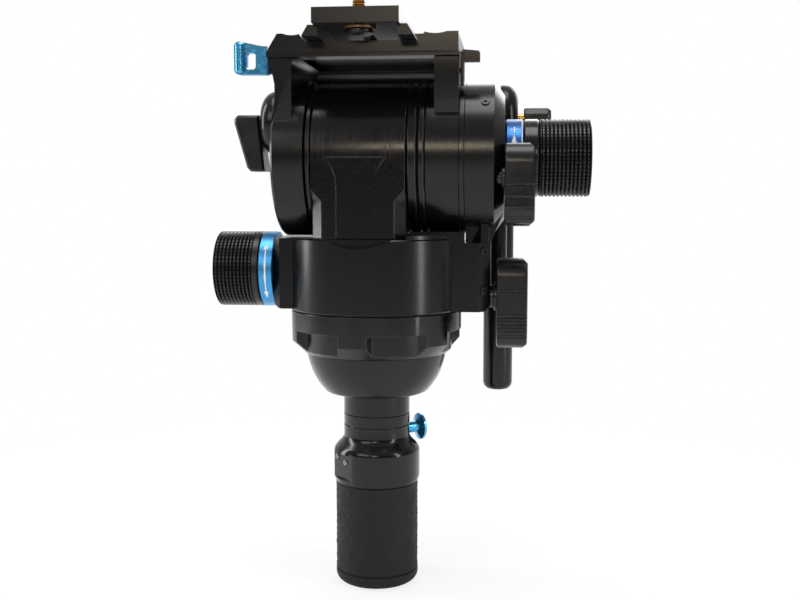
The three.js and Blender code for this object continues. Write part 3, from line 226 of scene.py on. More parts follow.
pad_grey = moulded("brake_lining_pressed", "4a443d", "5c554b", 0.8, 0.2, 0.8, 0.05)
blue_tilt = lathed("blue_anodised_aluminium_turned_tilt", "23538f", "2f66a6", 0.3, 0.75, 0.5, ON_X, TILT, 0.4)
blue_pan = lathed("blue_anodised_aluminium_turned_pan", "3d8ac4", "4a9ad2", 0.3, 0.75, 0.5,
                  ON_X, PAN_DRAG, 0.4)
blue_cast = blasted("blue_anodised_aluminium_tumbled", "3f93c8", "55acdc", 0.22, 0.8, 0.5, 1.6, 0.01)
brass = lathed("brass_turned", "b08a4e", "c49c5c", 0.28, 1, 0.5, ON_Z, CAMERA_SCREW, 0.35)
brass_stud = lathed("brass_turned_on_x", "b4905a", "c8a468", 0.26, 1, 0.5, ON_X, BAR_SCREW, 0.35)
washer_bronze = lathed("bronze_washer_turned", "6d5a44", "80694f", 0.35, 1, 0.5, ON_Z, CAMERA_SCREW, 0.35)
steel = lathed("steel_ground", "83858a", "96989d", 0.28, 1, 0.5, ON_Z, (0, 0, 0), 0.4)
axle_steel = lathed("steel_ground_on_x", "83858a", "96989d", 0.28, 1, 0.5, ON_X, TILT, 0.4)
screw_steel = lathed("black_oxide_steel_turned", "26262a", "34343a", 0.24, 0.8, 0.5, ON_Z, (0, 0, 0), 0.4)
white_print = moulded("white_ink_screen_printed", "dfe3e6", "eceff1", 0.5, 0.4, 0.9, 0.002)
disc_bronze = lathed("sintered_bronze_turned", "8a6a3c", "a07c48", 0.45, 1, 0.5, ON_Z, (0, 0, 0), 0.6)


# Shaping tools

def select_none():
    for other in scene.objects:
        other.select_set(False)


def only(piece):
    """Leaves one object selected and active."""
    select_none()
    piece.select_set(True)
    bpy.context.view_layer.objects.active = piece


def apply_modifiers(piece):
    only(piece)
    for modifier in list(piece.modifiers):
        bpy.ops.object.modifier_apply(modifier=modifier.name)


def pick(piece, test, kind="FACE"):
    """Enters edit mode with the faces, edges or vertices selected that pass a test."""
    only(piece)
    mesh = piece.data
    for group in (mesh.vertices, mesh.edges, mesh.polygons):
        group.foreach_set("select", [False] * len(group))
    chosen = {"FACE": mesh.polygons, "EDGE": mesh.edges, "VERT": mesh.vertices}[kind]
    for item in chosen:
        item.select = bool(test(item))
    bpy.context.tool_settings.mesh_select_mode = [kind == k for k in ("VERT", "EDGE", "FACE")]
    bpy.ops.object.mode_set(mode="EDIT")


def leave_edit():
    bpy.ops.object.mode_set(mode="OBJECT")


def place(piece, at=(0, 0, 0), tilted=(0, 0, 0)):
    """Turns and moves a piece, in degrees and millimetres, and keeps that in its mesh."""
    only(piece)
    piece.rotation_euler = [math.radians(a) for a in tilted]
    piece.location = [v * MM for v in at]
    bpy.ops.object.transform_apply(location=True, rotation=True, scale=True)
    return piece


def turn(points, steps, ring=False):
    """Turned body about Z: a circle is drawn out from each radius and height to the next."""
    select_none()
    radius, height = points[0]
    bpy.ops.mesh.primitive_circle_add(vertices=steps, radius=radius * MM)
    piece = bpy.context.object
    bpy.context.tool_settings.mesh_select_mode = (False, True, False)
    bpy.ops.object.mode_set(mode="EDIT")
    bpy.ops.mesh.select_all(action="SELECT")
    bpy.ops.transform.translate(value=(0, 0, height * MM))
    if not ring:
        bpy.ops.mesh.edge_face_add()
    for next_radius, next_height in points[1:] + (points[:1] if ring else []):
        bpy.ops.mesh.extrude_edges_move(TRANSFORM_OT_translate={"value": (0, 0, (next_height - height) * MM)})
        share = next_radius / radius
        bpy.ops.transform.resize(value=(share, share, 1), center_override=(0, 0, next_height * MM))
        radius, height = next_radius, next_height
    if not ring:
        bpy.ops.mesh.edge_face_add()
    bpy.ops.mesh.select_all(action="SELECT")
    bpy.ops.mesh.remove_doubles(threshold=0.002 * MM)
    bpy.ops.mesh.normals_make_consistent(inside=False)
    leave_edit()
    return piece


def box_piece(low, high):
    """A block between two corners, in millimetres."""
    select_none()
    bpy.ops.mesh.primitive_cube_add(size=1)
    piece = bpy.context.object
    piece.scale = [(h - l) * MM for l, h in zip(low, high)]
    piece.location = [(h + l) / 2 * MM for l, h in zip(low, high)]
    bpy.ops.object.transform_apply(location=True, rotation=True, scale=True)
    return piece


def prism(corners, low, high, axis):
    """A flat outline drawn out along an axis; its corners are in the other two axes, in millimetres."""
    select_none()
    bpy.ops.mesh.primitive_circle_add(vertices=len(corners), radius=1, fill_type="NGON")
    piece = bpy.context.object
    across = [i for i in range(3) if i != axis]
    for vertex, corner in zip(piece.data.vertices, corners):
        vertex.co[axis] = low * MM
        for i, value in zip(across, corner):
            vertex.co[i] = value * MM
    pick(piece, lambda face: True)
    drawn = [(high - low) * MM if i == axis else 0 for i in range(3)]
    bpy.ops.mesh.extrude_region_move(TRANSFORM_OT_translate={"value": drawn})
    bpy.ops.mesh.select_all(action="SELECT")
    bpy.ops.mesh.normals_make_consistent(inside=False)
    leave_edit()
    return piece


def bevelled(piece, width, segments=2, limit=33, material=0):
    bevel = piece.modifiers.new("edge", "BEVEL")
    bevel.width = width * MM
    bevel.segments = segments
    bevel.limit_method = "ANGLE"
    bevel.angle_limit = math.radians(limit)
    bevel.material = material
    bevel.miter_outer = "MITER_ARC"
    apply_modifiers(piece)
    return piece


def carve(piece, cutters, operation="DIFFERENCE"):
    """Cuts other bodies out of a piece, or joins them to it, and removes them."""
    for cutter in cutters:
        tool = piece.modifiers.new("carve", "BOOLEAN")
        tool.operation = operation
        tool.solver = "EXACT"
        tool.object = cutter
        apply_modifiers(piece)
        bpy.data.objects.remove(cutter)
    return piece


def joined(piece, others):
    only(piece)
    for other in others:
        other.select_set(True)
    bpy.ops.object.join()
    return piece


def even_shading(piece, angle):
    """Smooth over curved faces, with flat faces kept flat."""
    only(piece)
    bpy.ops.object.shade_smooth_by_angle(angle=math.radians(angle))
    level = piece.modifiers.new("level", "WEIGHTED_NORMAL")
    level.keep_sharp = True
    level.weight = 60
    apply_modifiers(piece)


def clothe(piece, name, material, body, stands_for=(), angle=32):
    """Names a finished piece, gives it its finish and hands it to the body that carries it."""
    piece.name = name
    piece.data.name = name
    if not piece.data.materials:
        piece.data.materials.append(material)
    even_shading(piece, angle)
    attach(piece, body)
    if stands_for:
        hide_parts(*stands_for)
    return piece


def rounder(piece, axis, centre):
    """Draws finer circles about an axis: divides short edges on a circle and moves the new corners out."""
    mesh = piece.data
    across = [i for i in range(3) if i != axis]
    middle = [c * MM for c in centre]

    def polar(point):
        u, v = (point[i] - middle[i] for i in across)
        return math.hypot(u, v), math.atan2(v, u)

    def on_circle(edge):
        a, b = (mesh.vertices[i].co for i in edge.vertices)
        (ra, ta), (rb, tb) = polar(a), polar(b)
        apart = abs((ta - tb + math.pi) % (2 * math.pi) - math.pi)
        same = abs(ra - rb) < SAME_PLACE and abs(a[axis] - b[axis]) < SAME_PLACE
        return same and ra > SMALLEST_BORE and NARROWEST_EDGE < apart < WIDEST_EDGE

    chosen = [edge.index for edge in mesh.edges if on_circle(edge)]
    if not chosen:
        return
    ends = {round(polar(mesh.vertices[mesh.edges[i].vertices[0]].co)[0] / MM, 2) for i in chosen}
    before = len(mesh.vertices)
    lookup = set(chosen)
    pick(piece, lambda edge: edge.index in lookup, "EDGE")
    bpy.ops.mesh.subdivide(number_cuts=2)
    leave_edit()
    for vertex in mesh.vertices[before:]:
        r, angle = polar(vertex.co)
        near = min((e for e in ends if e * MM >= r - SAME_PLACE), key=lambda e: e * MM - r, default=0)
        if near * MM - r < 0.06 * near * MM:
            vertex.co[across[0]] = middle[across[0]] + near * MM * math.cos(angle)
            vertex.co[across[1]] = middle[across[1]] + near * MM * math.sin(angle)


def dressed(node, material, edge, bevel_material, round_about, cuts=(), added=()):
    """Stands in for a machined CAD node: the same solid with rounder circles and its corners bevelled, the
    bevels in a second material: on most parts a lighter black, a painted edge highlight.
    """
    source = frame["nodes"][node]
    piece = bpy.data.objects.new(node + "_finished", source.data.copy())
    scene.collection.objects.link(piece)
    piece.data.materials.clear()
    piece.data.materials.append(material)
    piece.data.materials.append(bevel_material)
    only(piece)
    bpy.ops.mesh.customdata_custom_splitnormals_clear()
    bpy.ops.object.mode_set(mode="EDIT")
    bpy.ops.mesh.select_all(action="SELECT")
    bpy.ops.mesh.remove_doubles(threshold=0.01 * MM)
    bpy.ops.mesh.dissolve_limited(angle_limit=math.radians(1))
    leave_edit()
    for face in piece.data.polygons:
        face.material_index = 0
    for axis, centre in round_about:
        rounder(piece, axis, centre)
    carve(piece, added, "UNION")
    carve(piece, cuts)
    # The bevels take material 1: on most parts the lighter black that paints a highlight along the edges
    bevelled(piece, edge, 3, material=1)
    return clothe(piece, node + "_finished", material, source["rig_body"], [node])


def coat(node, material):
    """Gives a CAD node that keeps its own mesh its finish."""
    for slot in frame["nodes"][node].material_slots:
        slot.material = material


def arc(centre_u, centre_v, radius, start_angle, end_angle, count):
    """Points on a circle, from one angle to the next."""
    angles = [math.radians(start_angle + (end_angle - start_angle) * i / count) for i in range(count + 1)]
    return [(centre_u + radius * math.cos(a), centre_v + radius * math.sin(a)) for a in angles]


# Hidden working parts keep their CAD meshes
for node, material in {
    "tie_stud": steel, "grip_core": steel, "pan_spindle": steel, "pan_bearing": steel,
    "pan_drag_disc": disc_bronze, "pan_brake_pad": pad_grey, "tilt_bearing_left": axle_steel,
    "tilt_bearing_right": axle_steel, "counterbalance_spring": axle_steel,
    "tilt_drag_cartridge": disc_bronze, "tilt_brake_pad": pad_grey, "tilt_axle": axle_steel,
    "lever_pin": steel,
}.items():
    coat(node, material)

# Machined parts
ABOUT_TILT = (ON_X, TILT)
ABOUT_PAN = (ON_Z, (0, 0, 0))
ABOUT_BAR = (ON_Z, BAR)
ABOUT_BAR_SCREW = (ON_X, BAR_SCREW)
ABOUT_LEFT_ROSETTE = (ON_X, LEFT_ROSETTE)
SHAPED = {
    # Flank of the pedestal
    "cap_housing": ([prism([(58, -18), (60, -16), (67.5, -8.5), (71, -5), (71, -18)], 50, 62, ON_Z)], []),
    # Chamfer that ends the front of the right arm
    "right_cheek": ([prism([(-36.2, 126.3), (-31.9, 119), (-33.5, 116.5), (-36.5, 110), (-42, 104),
                            (-42, 126.3)], 27, 46, ON_X)], []),
    # Slanted left side of the jaw
    "platform": ([prism([(-57, 148), (-50.3, 148), (-44.5, 157.4), (-44, 160), (-57, 160)],
                        -45, 45, ON_Y)], []),
    # Narrow top block, with the dovetail legs set back under its front
    "camera_plate": ([box_piece((-40, -60, 150), (40, -53, 159.1)),
                      box_piece((-40, -60, 159), (-23.6, 60, 170)),
                      box_piece((18, -60, 159), (40, 60, 170))], []),
    # Thumb end of the safety lever
    "safety_lever": ([], [prism([(46.2, 150.4), (54.6, 149.6), (54.8, 146.5), (53, 144.7), (47.5, 144.9)],
                                -25.2, -18.8, ON_Y)]),
}
# Finishes that keep their own colour on their bevels; every other part gets the painted edge highlight there
PLAIN_EDGED = (knob_black, blue_tilt, brass_stud, washer_bronze)
for node, material, edge, round_about in (
    ("base_ring", turned_black, 0.5, [ABOUT_PAN]),
    ("neck_stub", turned_black, 0.35, [ABOUT_PAN]),
    ("tilt_brake_ring", drum_black, 0.15, [ABOUT_TILT]),
    ("clamp_collar", turned_black, 0.3, [ABOUT_PAN]),
    ("tilt_drum", drum_black, 0.4, [ABOUT_TILT]),
    ("drum_ring_left", drum_black, 0.2, [ABOUT_TILT]),
    ("drum_ring_inner", drum_black, 0.2, [ABOUT_TILT]),
    ("drum_ring_outer", drum_black, 0.2, [ABOUT_TILT]),
    ("cap_housing", body_black, 0.6, [ABOUT_TILT]),
    ("tilt_drag_ring", blue_tilt, 0.15, [ABOUT_TILT]),
    ("tilt_drag_collar", drum_black, 0.2, [ABOUT_TILT]),
    ("left_cheek", body_black, 0.6, [ABOUT_TILT]),
    ("right_cheek", body_black, 0.6, [ABOUT_TILT]),
    ("platform", body_black, 0.4, []),
    ("left_rosette", body_black, 0.4, [ABOUT_LEFT_ROSETTE]),
    ("right_rosette", body_black, 0.3, [ABOUT_BAR_SCREW]),
    ("bar_clamp", body_black, 0.5, [ABOUT_BAR_SCREW, ABOUT_BAR]),
    ("pan_bar", turned_black, 0.3, [ABOUT_BAR]),
    ("clamp_stud", brass_stud, 0.2, [ABOUT_BAR_SCREW]),
    ("left_wing_knob", knob_black, 0.6, []),
    ("camera_plate", plate_black, 0.35, []),
    ("screw_washer", washer_bronze, 0.2, [(ON_Z, CAMERA_SCREW)]),
    ("sliding_jaw", plate_black, 0.3, []),
    ("safety_lever", body_black, 0.3, []),
):
    cuts, added = SHAPED.get(node, ((), ()))
    bevel_material = material if material in PLAIN_EDGED else edge_painted_highlight
    dressed(node, material, edge, bevel_material, round_about, cuts, added)

# Pan housing: turned cup with a boss on its left, a lug on its right and a shallow dip in front of the drum
housing = turn([(0.5, 49.3), (17, 49.3), (17, 38.3), (38, 38.3), (38, 18.5), (45.3, 18.5), (46, 19.2),
                (46, 55.6), (45.3, 56.3), (0.5, 56.3)], 180)
boss = prism([(-39, 56.2), (-52.4, 56.2), *arc(-47.4, 24.4, 5, 180, 270, 8), (-39, 19.4)], -20, 20, ON_Y)
carve(boss, [prism([(-54, -14.5), (-48.5, -20), (-47, -21.5), (-54, -21.5)], 17, 61, ON_Z)])
lug = prism([(40, -20), (54.8, -20), (60.8, -14), (60.8, 14), (40, 14)], 18.6, 54, ON_Z)
carve(lug, [prism([(57.8, 18.4), (61.4, 22), (62, 18)], -22, 16, ON_Y)])
seat = prism(arc(0, 0, 45.2, -64.2, 64.2, 60), 55.7, 58.2, ON_Z)
stop = box_piece((19.8, -24, 54.1), (47.5, -12, 59.7))
dip_sides = [(-5 + 18 * i / 12, 56.3 - 4.5 * (1 - (i / 12) ** 2)) for i in range(-12, 13)]
dip = prism([*dip_sides, (13, 66), (-23, 66)], -54, -39.3, ON_Y)
drag_bore = place(turn([(5.3, -54), (5.3, -43.7)], 48), (0, 0, PAN_DRAG_HEIGHT), (0, 90, 0))
lock_bore = place(turn([(5.3, 30), (5.3, 64)], 48), (0, -8, 26), (0, 90, 0))
carve(carve(housing, [boss, lug, seat, stop], "UNION"), [dip, drag_bore, lock_bore])
# The housing's bevels take the lighter black: a painted highlight along its edges
for finish in (body_black, edge_painted_highlight):
    housing.data.materials.append(finish)
for face in housing.data.polygons:
    face.material_index = 0
clothe(bevelled(housing, 0.4, 3, material=1), "pan_housing_finished", body_black, "pan_body", ["pan_housing"])

# Half ball: one smooth turned curve down to its rounded foot
ball = [(5.3, -26.2), *arc(25.53, -23.2, 3, -90, -42.26, 6), *arc(0, 0, BALL_RADIUS, -42.26, -7.35, 20)[1:],
        (12.3, -4.8), (12.3, -11.1), (5.3, -11.1)]
clothe(turn(ball, 120, True), "half_ball_finished", turned_black, "bowl_base", ["half_ball"])

# Safety pin: plain stem and a trumpet head with a dished end, pointing out of the collar
pin_flare = [(3.2 + 4 * (i / 9) ** 2.6, 22.4 + 3.2 * i / 9) for i in range(10)]
pin = turn([(2.8, 8), (3.2, 8.4), *pin_flare, (7.2, 26.6), (6.9, 27), (5.6, 27), (5.1, 26.5),
            (0.6, 26.4)], 64)
clothe(place(pin, (0, 0, -48.7), (0, 90, 32)), "safety_pin_finished", blue_cast, "release_pin",
       ["safety_pin"])

# Ring of the pan drag, with its knob drawn out over its outer edge
pan_ring = turn([(5.3, 0), (19.7, 0), (20, 0.3), (20, 6.9), (19.7, 7.2), (5.3, 7.2)], 120, True)
clothe(place(pan_ring, (-52.7, 0, PAN_DRAG_HEIGHT), (0, -90, 0)), "pan_drag_ring_finished", blue_pan,
       "pan_body", ["pan_drag_ring"])

# Quick-release lever: a rounded bar and frame round its window, on a hub about its pin
lever = prism([*arc(-66.3, 141.4, 2.4, 180, 270, 4), (-51.8, 138.9), (-51.8, 152.4),
               *arc(-66.3, 152.9, 2.4, 85, 180, 4)], -28, -22.2, ON_Y)
window = prism([*arc(-61.3, 142.9, 1.5, 180, 270, 3), *arc(-59.1, 142.9, 1.5, 270, 360, 3),
                *arc(-59.1, 148.2, 1.5, 0, 90, 3), *arc(-61.3, 148.4, 1.5, 90, 180, 3)], -30, -20, ON_Y)
hub = place(turn([(1.8, 139.9), (3.8, 139.9), (3.8, 152), (1.8, 152)], 48, True), (-54.6, -20, 0))
bar = place(turn([(2.3, 139.7), (3.1, 140.6), (3.1, 153.9), (2.3, 154.8)], 40), (-65.5, -26.3, 0))
carve(carve(lever, [window]), [hub, bar], "UNION")
clothe(bevelled(lever, 1.1, 4, 40), "release_lever_finished", blue_cast, "lever", ["release_lever"],
       angle=40)

# Clamp knob: eight flats and a chamfered end
clamp_knob = turn([(5.6, 0), (6.2, 0.6), (6.2, 13.4), (4.8, 15.4), (0.5, 15.4)], 8)
place(place(clamp_knob, tilted=(0, 0, 22.5)), (78, *BAR_SCREW[1:]), (0, 90, 0))
clothe(bevelled(clamp_knob, 0.3), "clamp_knob_finished", knob_black, "bar_screw", ["clamp_knob"])


def knurled_knob(name, node, body, inner, outward, length, band, rows, screw, height):
    """Drag knob: plain band, then rows of small square studs between deep grooves, and a dished end."""
    rows_end = length - 0.8
    pitch = (length - band - 0.8) / rows
    valley, root, side = DRAG_RADIUS - 0.95, DRAG_RADIUS - 0.45, 0.3
    grid = []
    for row in range(rows):
        row_start = band + row * pitch
        grid += [(valley, row_start), (root, row_start + side), (root, row_start + pitch - side)]
    profile = [(5, -screw), (5, 0), (DRAG_RADIUS - 0.6, 0), (DRAG_RADIUS, 0.5), (DRAG_RADIUS, band - 0.1),
               *grid, (valley, rows_end), (DRAG_RADIUS - 0.2, length - 0.5), (DRAG_RADIUS - 0.9, length),
               (15.2, length), (14.4, length - 1.2), (6, length - 1.2), (5.4, length - 0.9),
               (0.5, length - 0.9)]
    piece = turn(profile, 62)

    def stud(face):
        flat = face.normal.z ** 2 < 0.01 and band * MM < face.center.z < rows_end * MM
        return flat and 19.3 * MM < face.center.xy.length < 19.7 * MM

    pick(piece, stud)
    bpy.ops.mesh.inset(thickness=0.3 * MM, depth=0.42 * MM, use_individual=True)
    leave_edit()
    place(piece, (inner, 0, height), (0, 90 * outward, 0))
    return clothe(piece, name, knob_black, body, [node], angle=28)


knurled_knob("pan_drag_knob_finished", "pan_drag_knob", "pan_drag", -60.3, -1, 24.1, 3.4, 10, 16.3,
             PAN_DRAG_HEIGHT)
knurled_knob("tilt_drag_knob_finished", "tilt_drag_knob", "tilt_drag", 85.3, 1, 26, 0.8, 12, 25, TILT_HEIGHT)


WING_HALF = 10.1


def wing(name, node, body, side, height, up, down, inner, outer, shaft_radius, shaft_end, step, grooves):
    """Wing knob: a long rounded slab with a step across its middle, grooves below it, and a shaft."""
    select_none()
    bpy.ops.mesh.primitive_circle_add(vertices=64, radius=WING_HALF * MM, fill_type="NGON")
    piece = bpy.context.object
    for vertex in piece.data.vertices:
        vertex.co.x += (down - WING_HALF) * MM if vertex.co.x > 0.01 * MM else -(up - WING_HALF) * MM
    pick(piece, lambda face: True)
    bpy.ops.mesh.extrude_region_move(TRANSFORM_OT_translate={"value": (0, 0, (outer - inner) * MM)})
    bpy.ops.mesh.select_all(action="SELECT")
    bpy.ops.mesh.normals_make_consistent(inside=False)
    leave_edit()
    bevelled(piece, 1.3, 2, 40)
    place(piece, (inner, side, height), (0, 90, 0))
    top, foot = height + up, height - down
    across = (side - 12, side + 12, ON_Y)
    cutters = [prism([(outer - 3, top + 0.1), (outer + 0.1, top - 3), (outer + 1, top + 1)], *across),
               prism([(outer - 3, foot - 0.1), (outer + 0.1, foot + 3), (outer + 1, foot - 1)], *across)]
    for below_top, radius, sunk in [(step, 0.7, 0.1)] + [(g, 1.1, 0.35) for g in grooves]:
        level_z = height + up - below_top
        middle = height - down + WING_HALF
        reach = WING_HALF if level_z > middle else math.sqrt(max(0, WING_HALF ** 2 - (middle - level_z) ** 2))
        for way in (-1, 1):
            rod = turn([(radius, inner - 2), (radius, outer + 2)], 16)
            cutters.append(place(rod, (0, side + way * (reach + sunk), level_z), (0, 90, 0)))
    carve(piece, cutters)
    collar_radius = shaft_radius + 1.6
    neck = [(shaft_radius, shaft_end), (shaft_radius, inner - 1.6), (collar_radius, inner - 1.2),
            (collar_radius, inner + 1)]
    joined(piece, [place(turn(neck, 48), (0, side, height), (0, 90, 0))])
    return clothe(piece, name, knob_black, body, [node], angle=35)


wing("pan_lock_knob_finished", "pan_lock_knob", "pan_lock", -8, 26, 20, 27, 64.1, 80, 6, 44.3, 16.5,
     (29.6, 33.2, 36.8, 40.3))
wing("tilt_lock_knob_finished", "tilt_lock_knob", "tilt_lock", -31, 87, 17, 24, 67.8, 82.6, 3.6, 51, 20.4,
     (26.4, 31.8, 37))

# Rubber grip: moulded sleeve with a shallow irregular texture, a groove and a round lower lip
GRIP_RADIUS = 22.15
rows = [(GRIP_RADIUS, -122.6 + 46.6 * i / 62) for i in range(63)]
grip = turn([(12, -75.3), (21.6, -75.3), (GRIP_RADIUS, -75.8), *rows[::-1], (21.5, -122.9), (21.5, -123.5),
             (22.2, -123.8), *arc(17.25, -125.6, 5, 0, -84, 10), (0.6, -130.6)], 180)
bark = bpy.data.textures.new("bark", "DISTORTED_NOISE")
bark.noise_scale = 0.0021
bark.noise_distortion = "BLENDER_ORIGINAL"
raised = grip.vertex_groups.new(name="raised")
raised.add([v.index for v in grip.data.vertices if -121.6 * MM < v.co.z < -76.8 * MM], 1, "REPLACE")
relief = grip.modifiers.new("relief", "DISPLACE")
relief.texture = bark
relief.texture_coords = "LOCAL"
relief.vertex_group = "raised"
relief.mid_level = 0.5
relief.strength = 0.36 * MM
apply_modifiers(grip)
clothe(grip, "tie_grip_finished", grip_black, "grip", ["tie_grip"])

# Camera screw: round head and a cut thread, as rings at the pitch of a quarter inch screw
THREAD_CREST, THREAD_ROOT, THREAD_PITCH = 3.175, 2.55, 1.27
thread = [(THREAD_CREST if i % 2 else THREAD_ROOT, 162 + i * (THREAD_PITCH / 2)) for i in range(18)]
screw = turn([(0.6, 154.9), (2.2, 154.9), (2.2, 155.5), (6.4, 155.5), (7, 156), (7, 157), (6.4, 157.5),
              (3.17, 157.5), (3.17, 161.6), *thread, (2.2, 174), (0.4, 174)], 64)
for finish in (brass, screw_steel):
    screw.data.materials.append(finish)
for face in screw.data.polygons:
    face.material_index = 1 if face.center.z < 157.55 * MM else 0
clothe(place(screw, CAMERA_SCREW), "camera_screw_finished", brass, "screw", ["camera_screw"])


def cap_screw(name, at, tilted, radius, body, metal=screw_steel):
    """Round head with a six-sided socket, made once for each place."""
    head = turn([(radius * 0.7, -0.6), (radius, -0.5), (radius, 0.35), (radius * 0.88, 0.7), (0.3, 0.7)], 40)
    socket = turn([(radius * 0.45, 0.1), (radius * 0.45, 2)], 6)
    carve(head, [socket])
    return clothe(place(head, at, tilted), name, metal, body, angle=30)


cap_screw("lug_screw_upper", (57.6, -17.4, 49.6), (90, 0, 45), 2.4, "pan_body")
cap_screw("lug_screw_lower", (57.6, -17.4, 29.4), (90, 0, 45), 2.4, "pan_body")
cap_screw("cap_screw_front", (58, -28.7, 123.9), (47.4, 0, 0), 2.1, "pan_body")
cap_screw("collar_screw_left", (-19.9, -9.9, -60.8), (0, 90, -140), 1.5, "clamp_sleeve", steel)
cap_screw("collar_screw_right", (-14.7, -16.1, -62.8), (0, 90, -140), 1.5, "clamp_sleeve", steel)


# Printed marks on the blue rings, just proud of them
MARK_LIFT = 0.05

def on_ring(piece, height):
    """Wraps a flat mark, drawn in X along the axis and Y round the ring, on the ring's front."""
    for vertex in piece.data.vertices:
        radius = (DRAG_RADIUS + MARK_LIFT) * MM + vertex.co.z
        angle = vertex.co.y / (DRAG_RADIUS * MM)
        vertex.co.y = -radius * math.cos(angle)
        vertex.co.z = height * MM + radius * math.sin(angle)


def flat_mark(corners, centre_x):
    """A thin flat shape, cut into strips of 1 mm so that it can bend round the ring.
    Its corners are in millimetres: along the axis, and up round the ring."""
    piece = prism([(centre_x + u, v) for u, v in corners], 0, 0.06, ON_Z)
    for i in range(-30, 31):
        pick(piece, lambda face: True)
        bpy.ops.mesh.bisect(plane_co=(0, i * MM, 0), plane_no=(0, 1, 0))
        leave_edit()
    return piece


half_arrow = [(0.35, 0), (0.55, 3), (0.3, 8), (0.3, 11.6), (1.2, 11.6), (0, 16.2)]
double_arrow = half_arrow + [(-u, v) for u, v in half_arrow[-2::-1]]
double_arrow += [(-u, -v) for u, v in half_arrow[1:]] + [(u, -v) for u, v in half_arrow[-2:0:-1]]
pan_arrow = flat_mark(double_arrow, -56.3)
on_ring(pan_arrow, PAN_DRAG_HEIGHT)
clothe(pan_arrow, "pan_drag_arrow", white_print, "pan_body", angle=20)
TILT_RING_MIDDLE = 72.3
plus = flat_mark([(-0.25, 13.4), (0.25, 13.4), (0.25, 15.25), (2, 15.25), (2, 15.75), (0.25, 15.75),
                  (0.25, 17.6), (-0.25, 17.6), (-0.25, 15.75), (-2, 15.75), (-2, 15.25),
                  (-0.25, 15.25)], TILT_RING_MIDDLE)
on_ring(plus, TILT_HEIGHT)
clothe(plus, "tilt_drag_plus", white_print, "pan_body", angle=20)
pointer = flat_mark([(-1.6, 6), (1.6, 6), (0, 12.4)], TILT_RING_MIDDLE)
on_ring(pointer, TILT_HEIGHT)
clothe(pointer, "tilt_drag_pointer", white_print, "pan_body", angle=20)
line = turn([(19.7, 0), (20.05, 0), (20.05, 0.4), (19.7, 0.4)], 120, True)
clothe(place(line, (76.1, 0, TILT_HEIGHT), (0, 90, 0)), "tilt_drag_line", white_print, "pan_body")

# Gusset that stands on the lug in front of the cap's pedestal, with a slanted left face
gusset = prism([(51.2, -16.2), (56, -20.5), (60, -20.5), (60, -16.2)], 54.4, 64, ON_Z)
for vertex in gusset.data.vertices:
    if vertex.co.z > 60 * MM and vertex.co.x < 52 * MM:
        vertex.co.x = 55.99 * MM
clothe(bevelled(gusset, 0.3), "pedestal_gusset", body_black, "pan_body")

# Rib across the back of the platform's underside, between the arms, light grey as a painted reflection
rib = prism([(32.4, 145.9), (37.6, 145.9), (37.6, 139.6), (36.8, 138.6), (34.4, 138.6), (32.4, 142)],
            -38.4, 32.8, ON_X)
clothe(bevelled(rib, 0.5), "platform_rear_rib", rib_painted_reflection, frame["nodes"]["platform"]["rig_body"])


# Stage: pale floor, white surroundings and soft lamps

def backdrop(name, colour, strength):
    """Pale paint that the camera sees near white away from the part, and that still shows the shadow."""
    material = bpy.data.materials.new(name)
    material.use_nodes = True
    tree = material.node_tree
    tree.nodes.clear()
    path = put(tree, "ShaderNodeLightPath")
    mirrored = put(tree, "ShaderNodeMath", {1: 0.2}, {0: path.outputs["Is Glossy Ray"]}, operation="MULTIPLY")
    seen = put(tree, "ShaderNodeMath", links={0: path.outputs["Is Camera Ray"], 1: mirrored.outputs[0]},
               operation="MAXIMUM")
    place = put(tree, "ShaderNodeTexCoord").outputs["Object"]
    away = put(tree, "ShaderNodeVectorMath", links={0: place}, operation="LENGTH")
    near = put(tree, "ShaderNodeMapRange",
               {"From Min": 0.08, "From Max": 0.45, "To Min": strength, "To Max": 1.0},
               {"Value": away.outputs["Value"]}, interpolation_type="SMOOTHSTEP")
    share = put(tree, "ShaderNodeMath", links={0: seen.outputs[0], 1: near.outputs[0]}, operation="MULTIPLY")
    paint = put(tree, "ShaderNodeBsdfDiffuse", {"Color": linear(colour)})
    glow = put(tree, "ShaderNodeEmission", {"Color": linear("ffffff"), "Strength": 1})
    mixed = put(tree, "ShaderNodeMixShader",
                links={0: share.outputs[0], 1: paint.outputs[0], 2: glow.outputs[0]})
    put(tree, "ShaderNodeOutputMaterial", links={"Surface": mixed.outputs[0]})
    return material


bpy.ops.mesh.primitive_plane_add(size=12, location=(0, 0, cad_low.z - 0.2 * MM))
floor = bpy.context.object
floor.name = "floor"
floor.data.materials.append(backdrop("pale_floor_paint", "f4f4f4", 0.8))

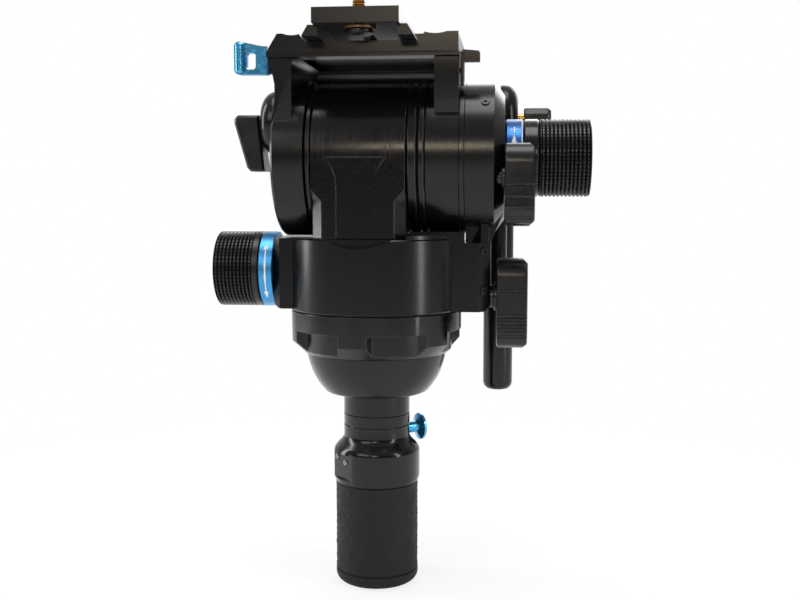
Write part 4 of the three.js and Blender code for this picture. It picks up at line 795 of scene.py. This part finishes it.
world = bpy.data.worlds.new("surroundings")
scene.world = world
world.use_nodes = True
sky = world.node_tree
sky.nodes.clear()
path = put(sky, "ShaderNodeLightPath")
seen = put(sky, "ShaderNodeMath",
           links={0: path.outputs["Is Camera Ray"], 1: path.outputs["Is Transmission Ray"]},
           operation="MAXIMUM")
# The room is dim on the camera's side, and pale overhead and behind
way = put(sky, "ShaderNodeSeparateXYZ", links={"Vector": put(sky, "ShaderNodeTexCoord").outputs["Generated"]})
above = put(sky, "ShaderNodeMapRange", {"From Min": 0.1, "From Max": 0.9, "To Min": 0.05, "To Max": 0.5},
            {"Value": way.outputs["Z"]})
behind = put(sky, "ShaderNodeMapRange", {"From Min": 0.1, "From Max": 0.8, "To Min": 0.05, "To Max": 0.8},
             {"Value": way.outputs["Y"]})
room = put(sky, "ShaderNodeMath", links={0: above.outputs[0], 1: behind.outputs[0]}, operation="MAXIMUM")
level = put(sky, "ShaderNodeMapRange", {"To Max": 1.0}, {"Value": seen.outputs[0], "To Min": room.outputs[0]})
glow = put(sky, "ShaderNodeBackground", {"Color": linear("ffffff")}, {"Strength": level.outputs[0]})
put(sky, "ShaderNodeOutputWorld", links={"Surface": glow.outputs[0]})


def lamp(name, place, aim, size, power, colour="ffffff"):
    data = bpy.data.lights.new(name, "AREA")
    data.shape = "RECTANGLE"
    data.size, data.size_y = size
    data.energy = power
    data.color = linear(colour)[:3]
    made = bpy.data.objects.new(name, data)
    made.location = place
    made.rotation_euler = (Vector(aim) - Vector(place)).to_track_quat("-Z", "Y").to_euler()
    scene.collection.objects.link(made)


lamp("key_left", (-1.0, 0.1, 0.4), (0, 0, 0.05), (0.2, 0.9), 6)
lamp("soft_left", (-0.6, -0.9, 0.6), (0, 0, 0.05), (0.6, 0.5), 3)
lamp("fill_right", (1.0, -0.45, 0.3), (0, 0, 0.05), (0.1, 0.9), 4)
lamp("band_front", (-0.01, -1.1, 0.42), (0, 0, 0.08), (0.26, 0.12), 1.6, "ffedd2")
lamp("top", (0, -0.1, 1.0), (0, 0, 0.1), (0.7, 0.5), 6)
lamp("rear", (0.2, 1.0, 0.6), (0, 0, 0.05), (0.9, 0.6), 5)
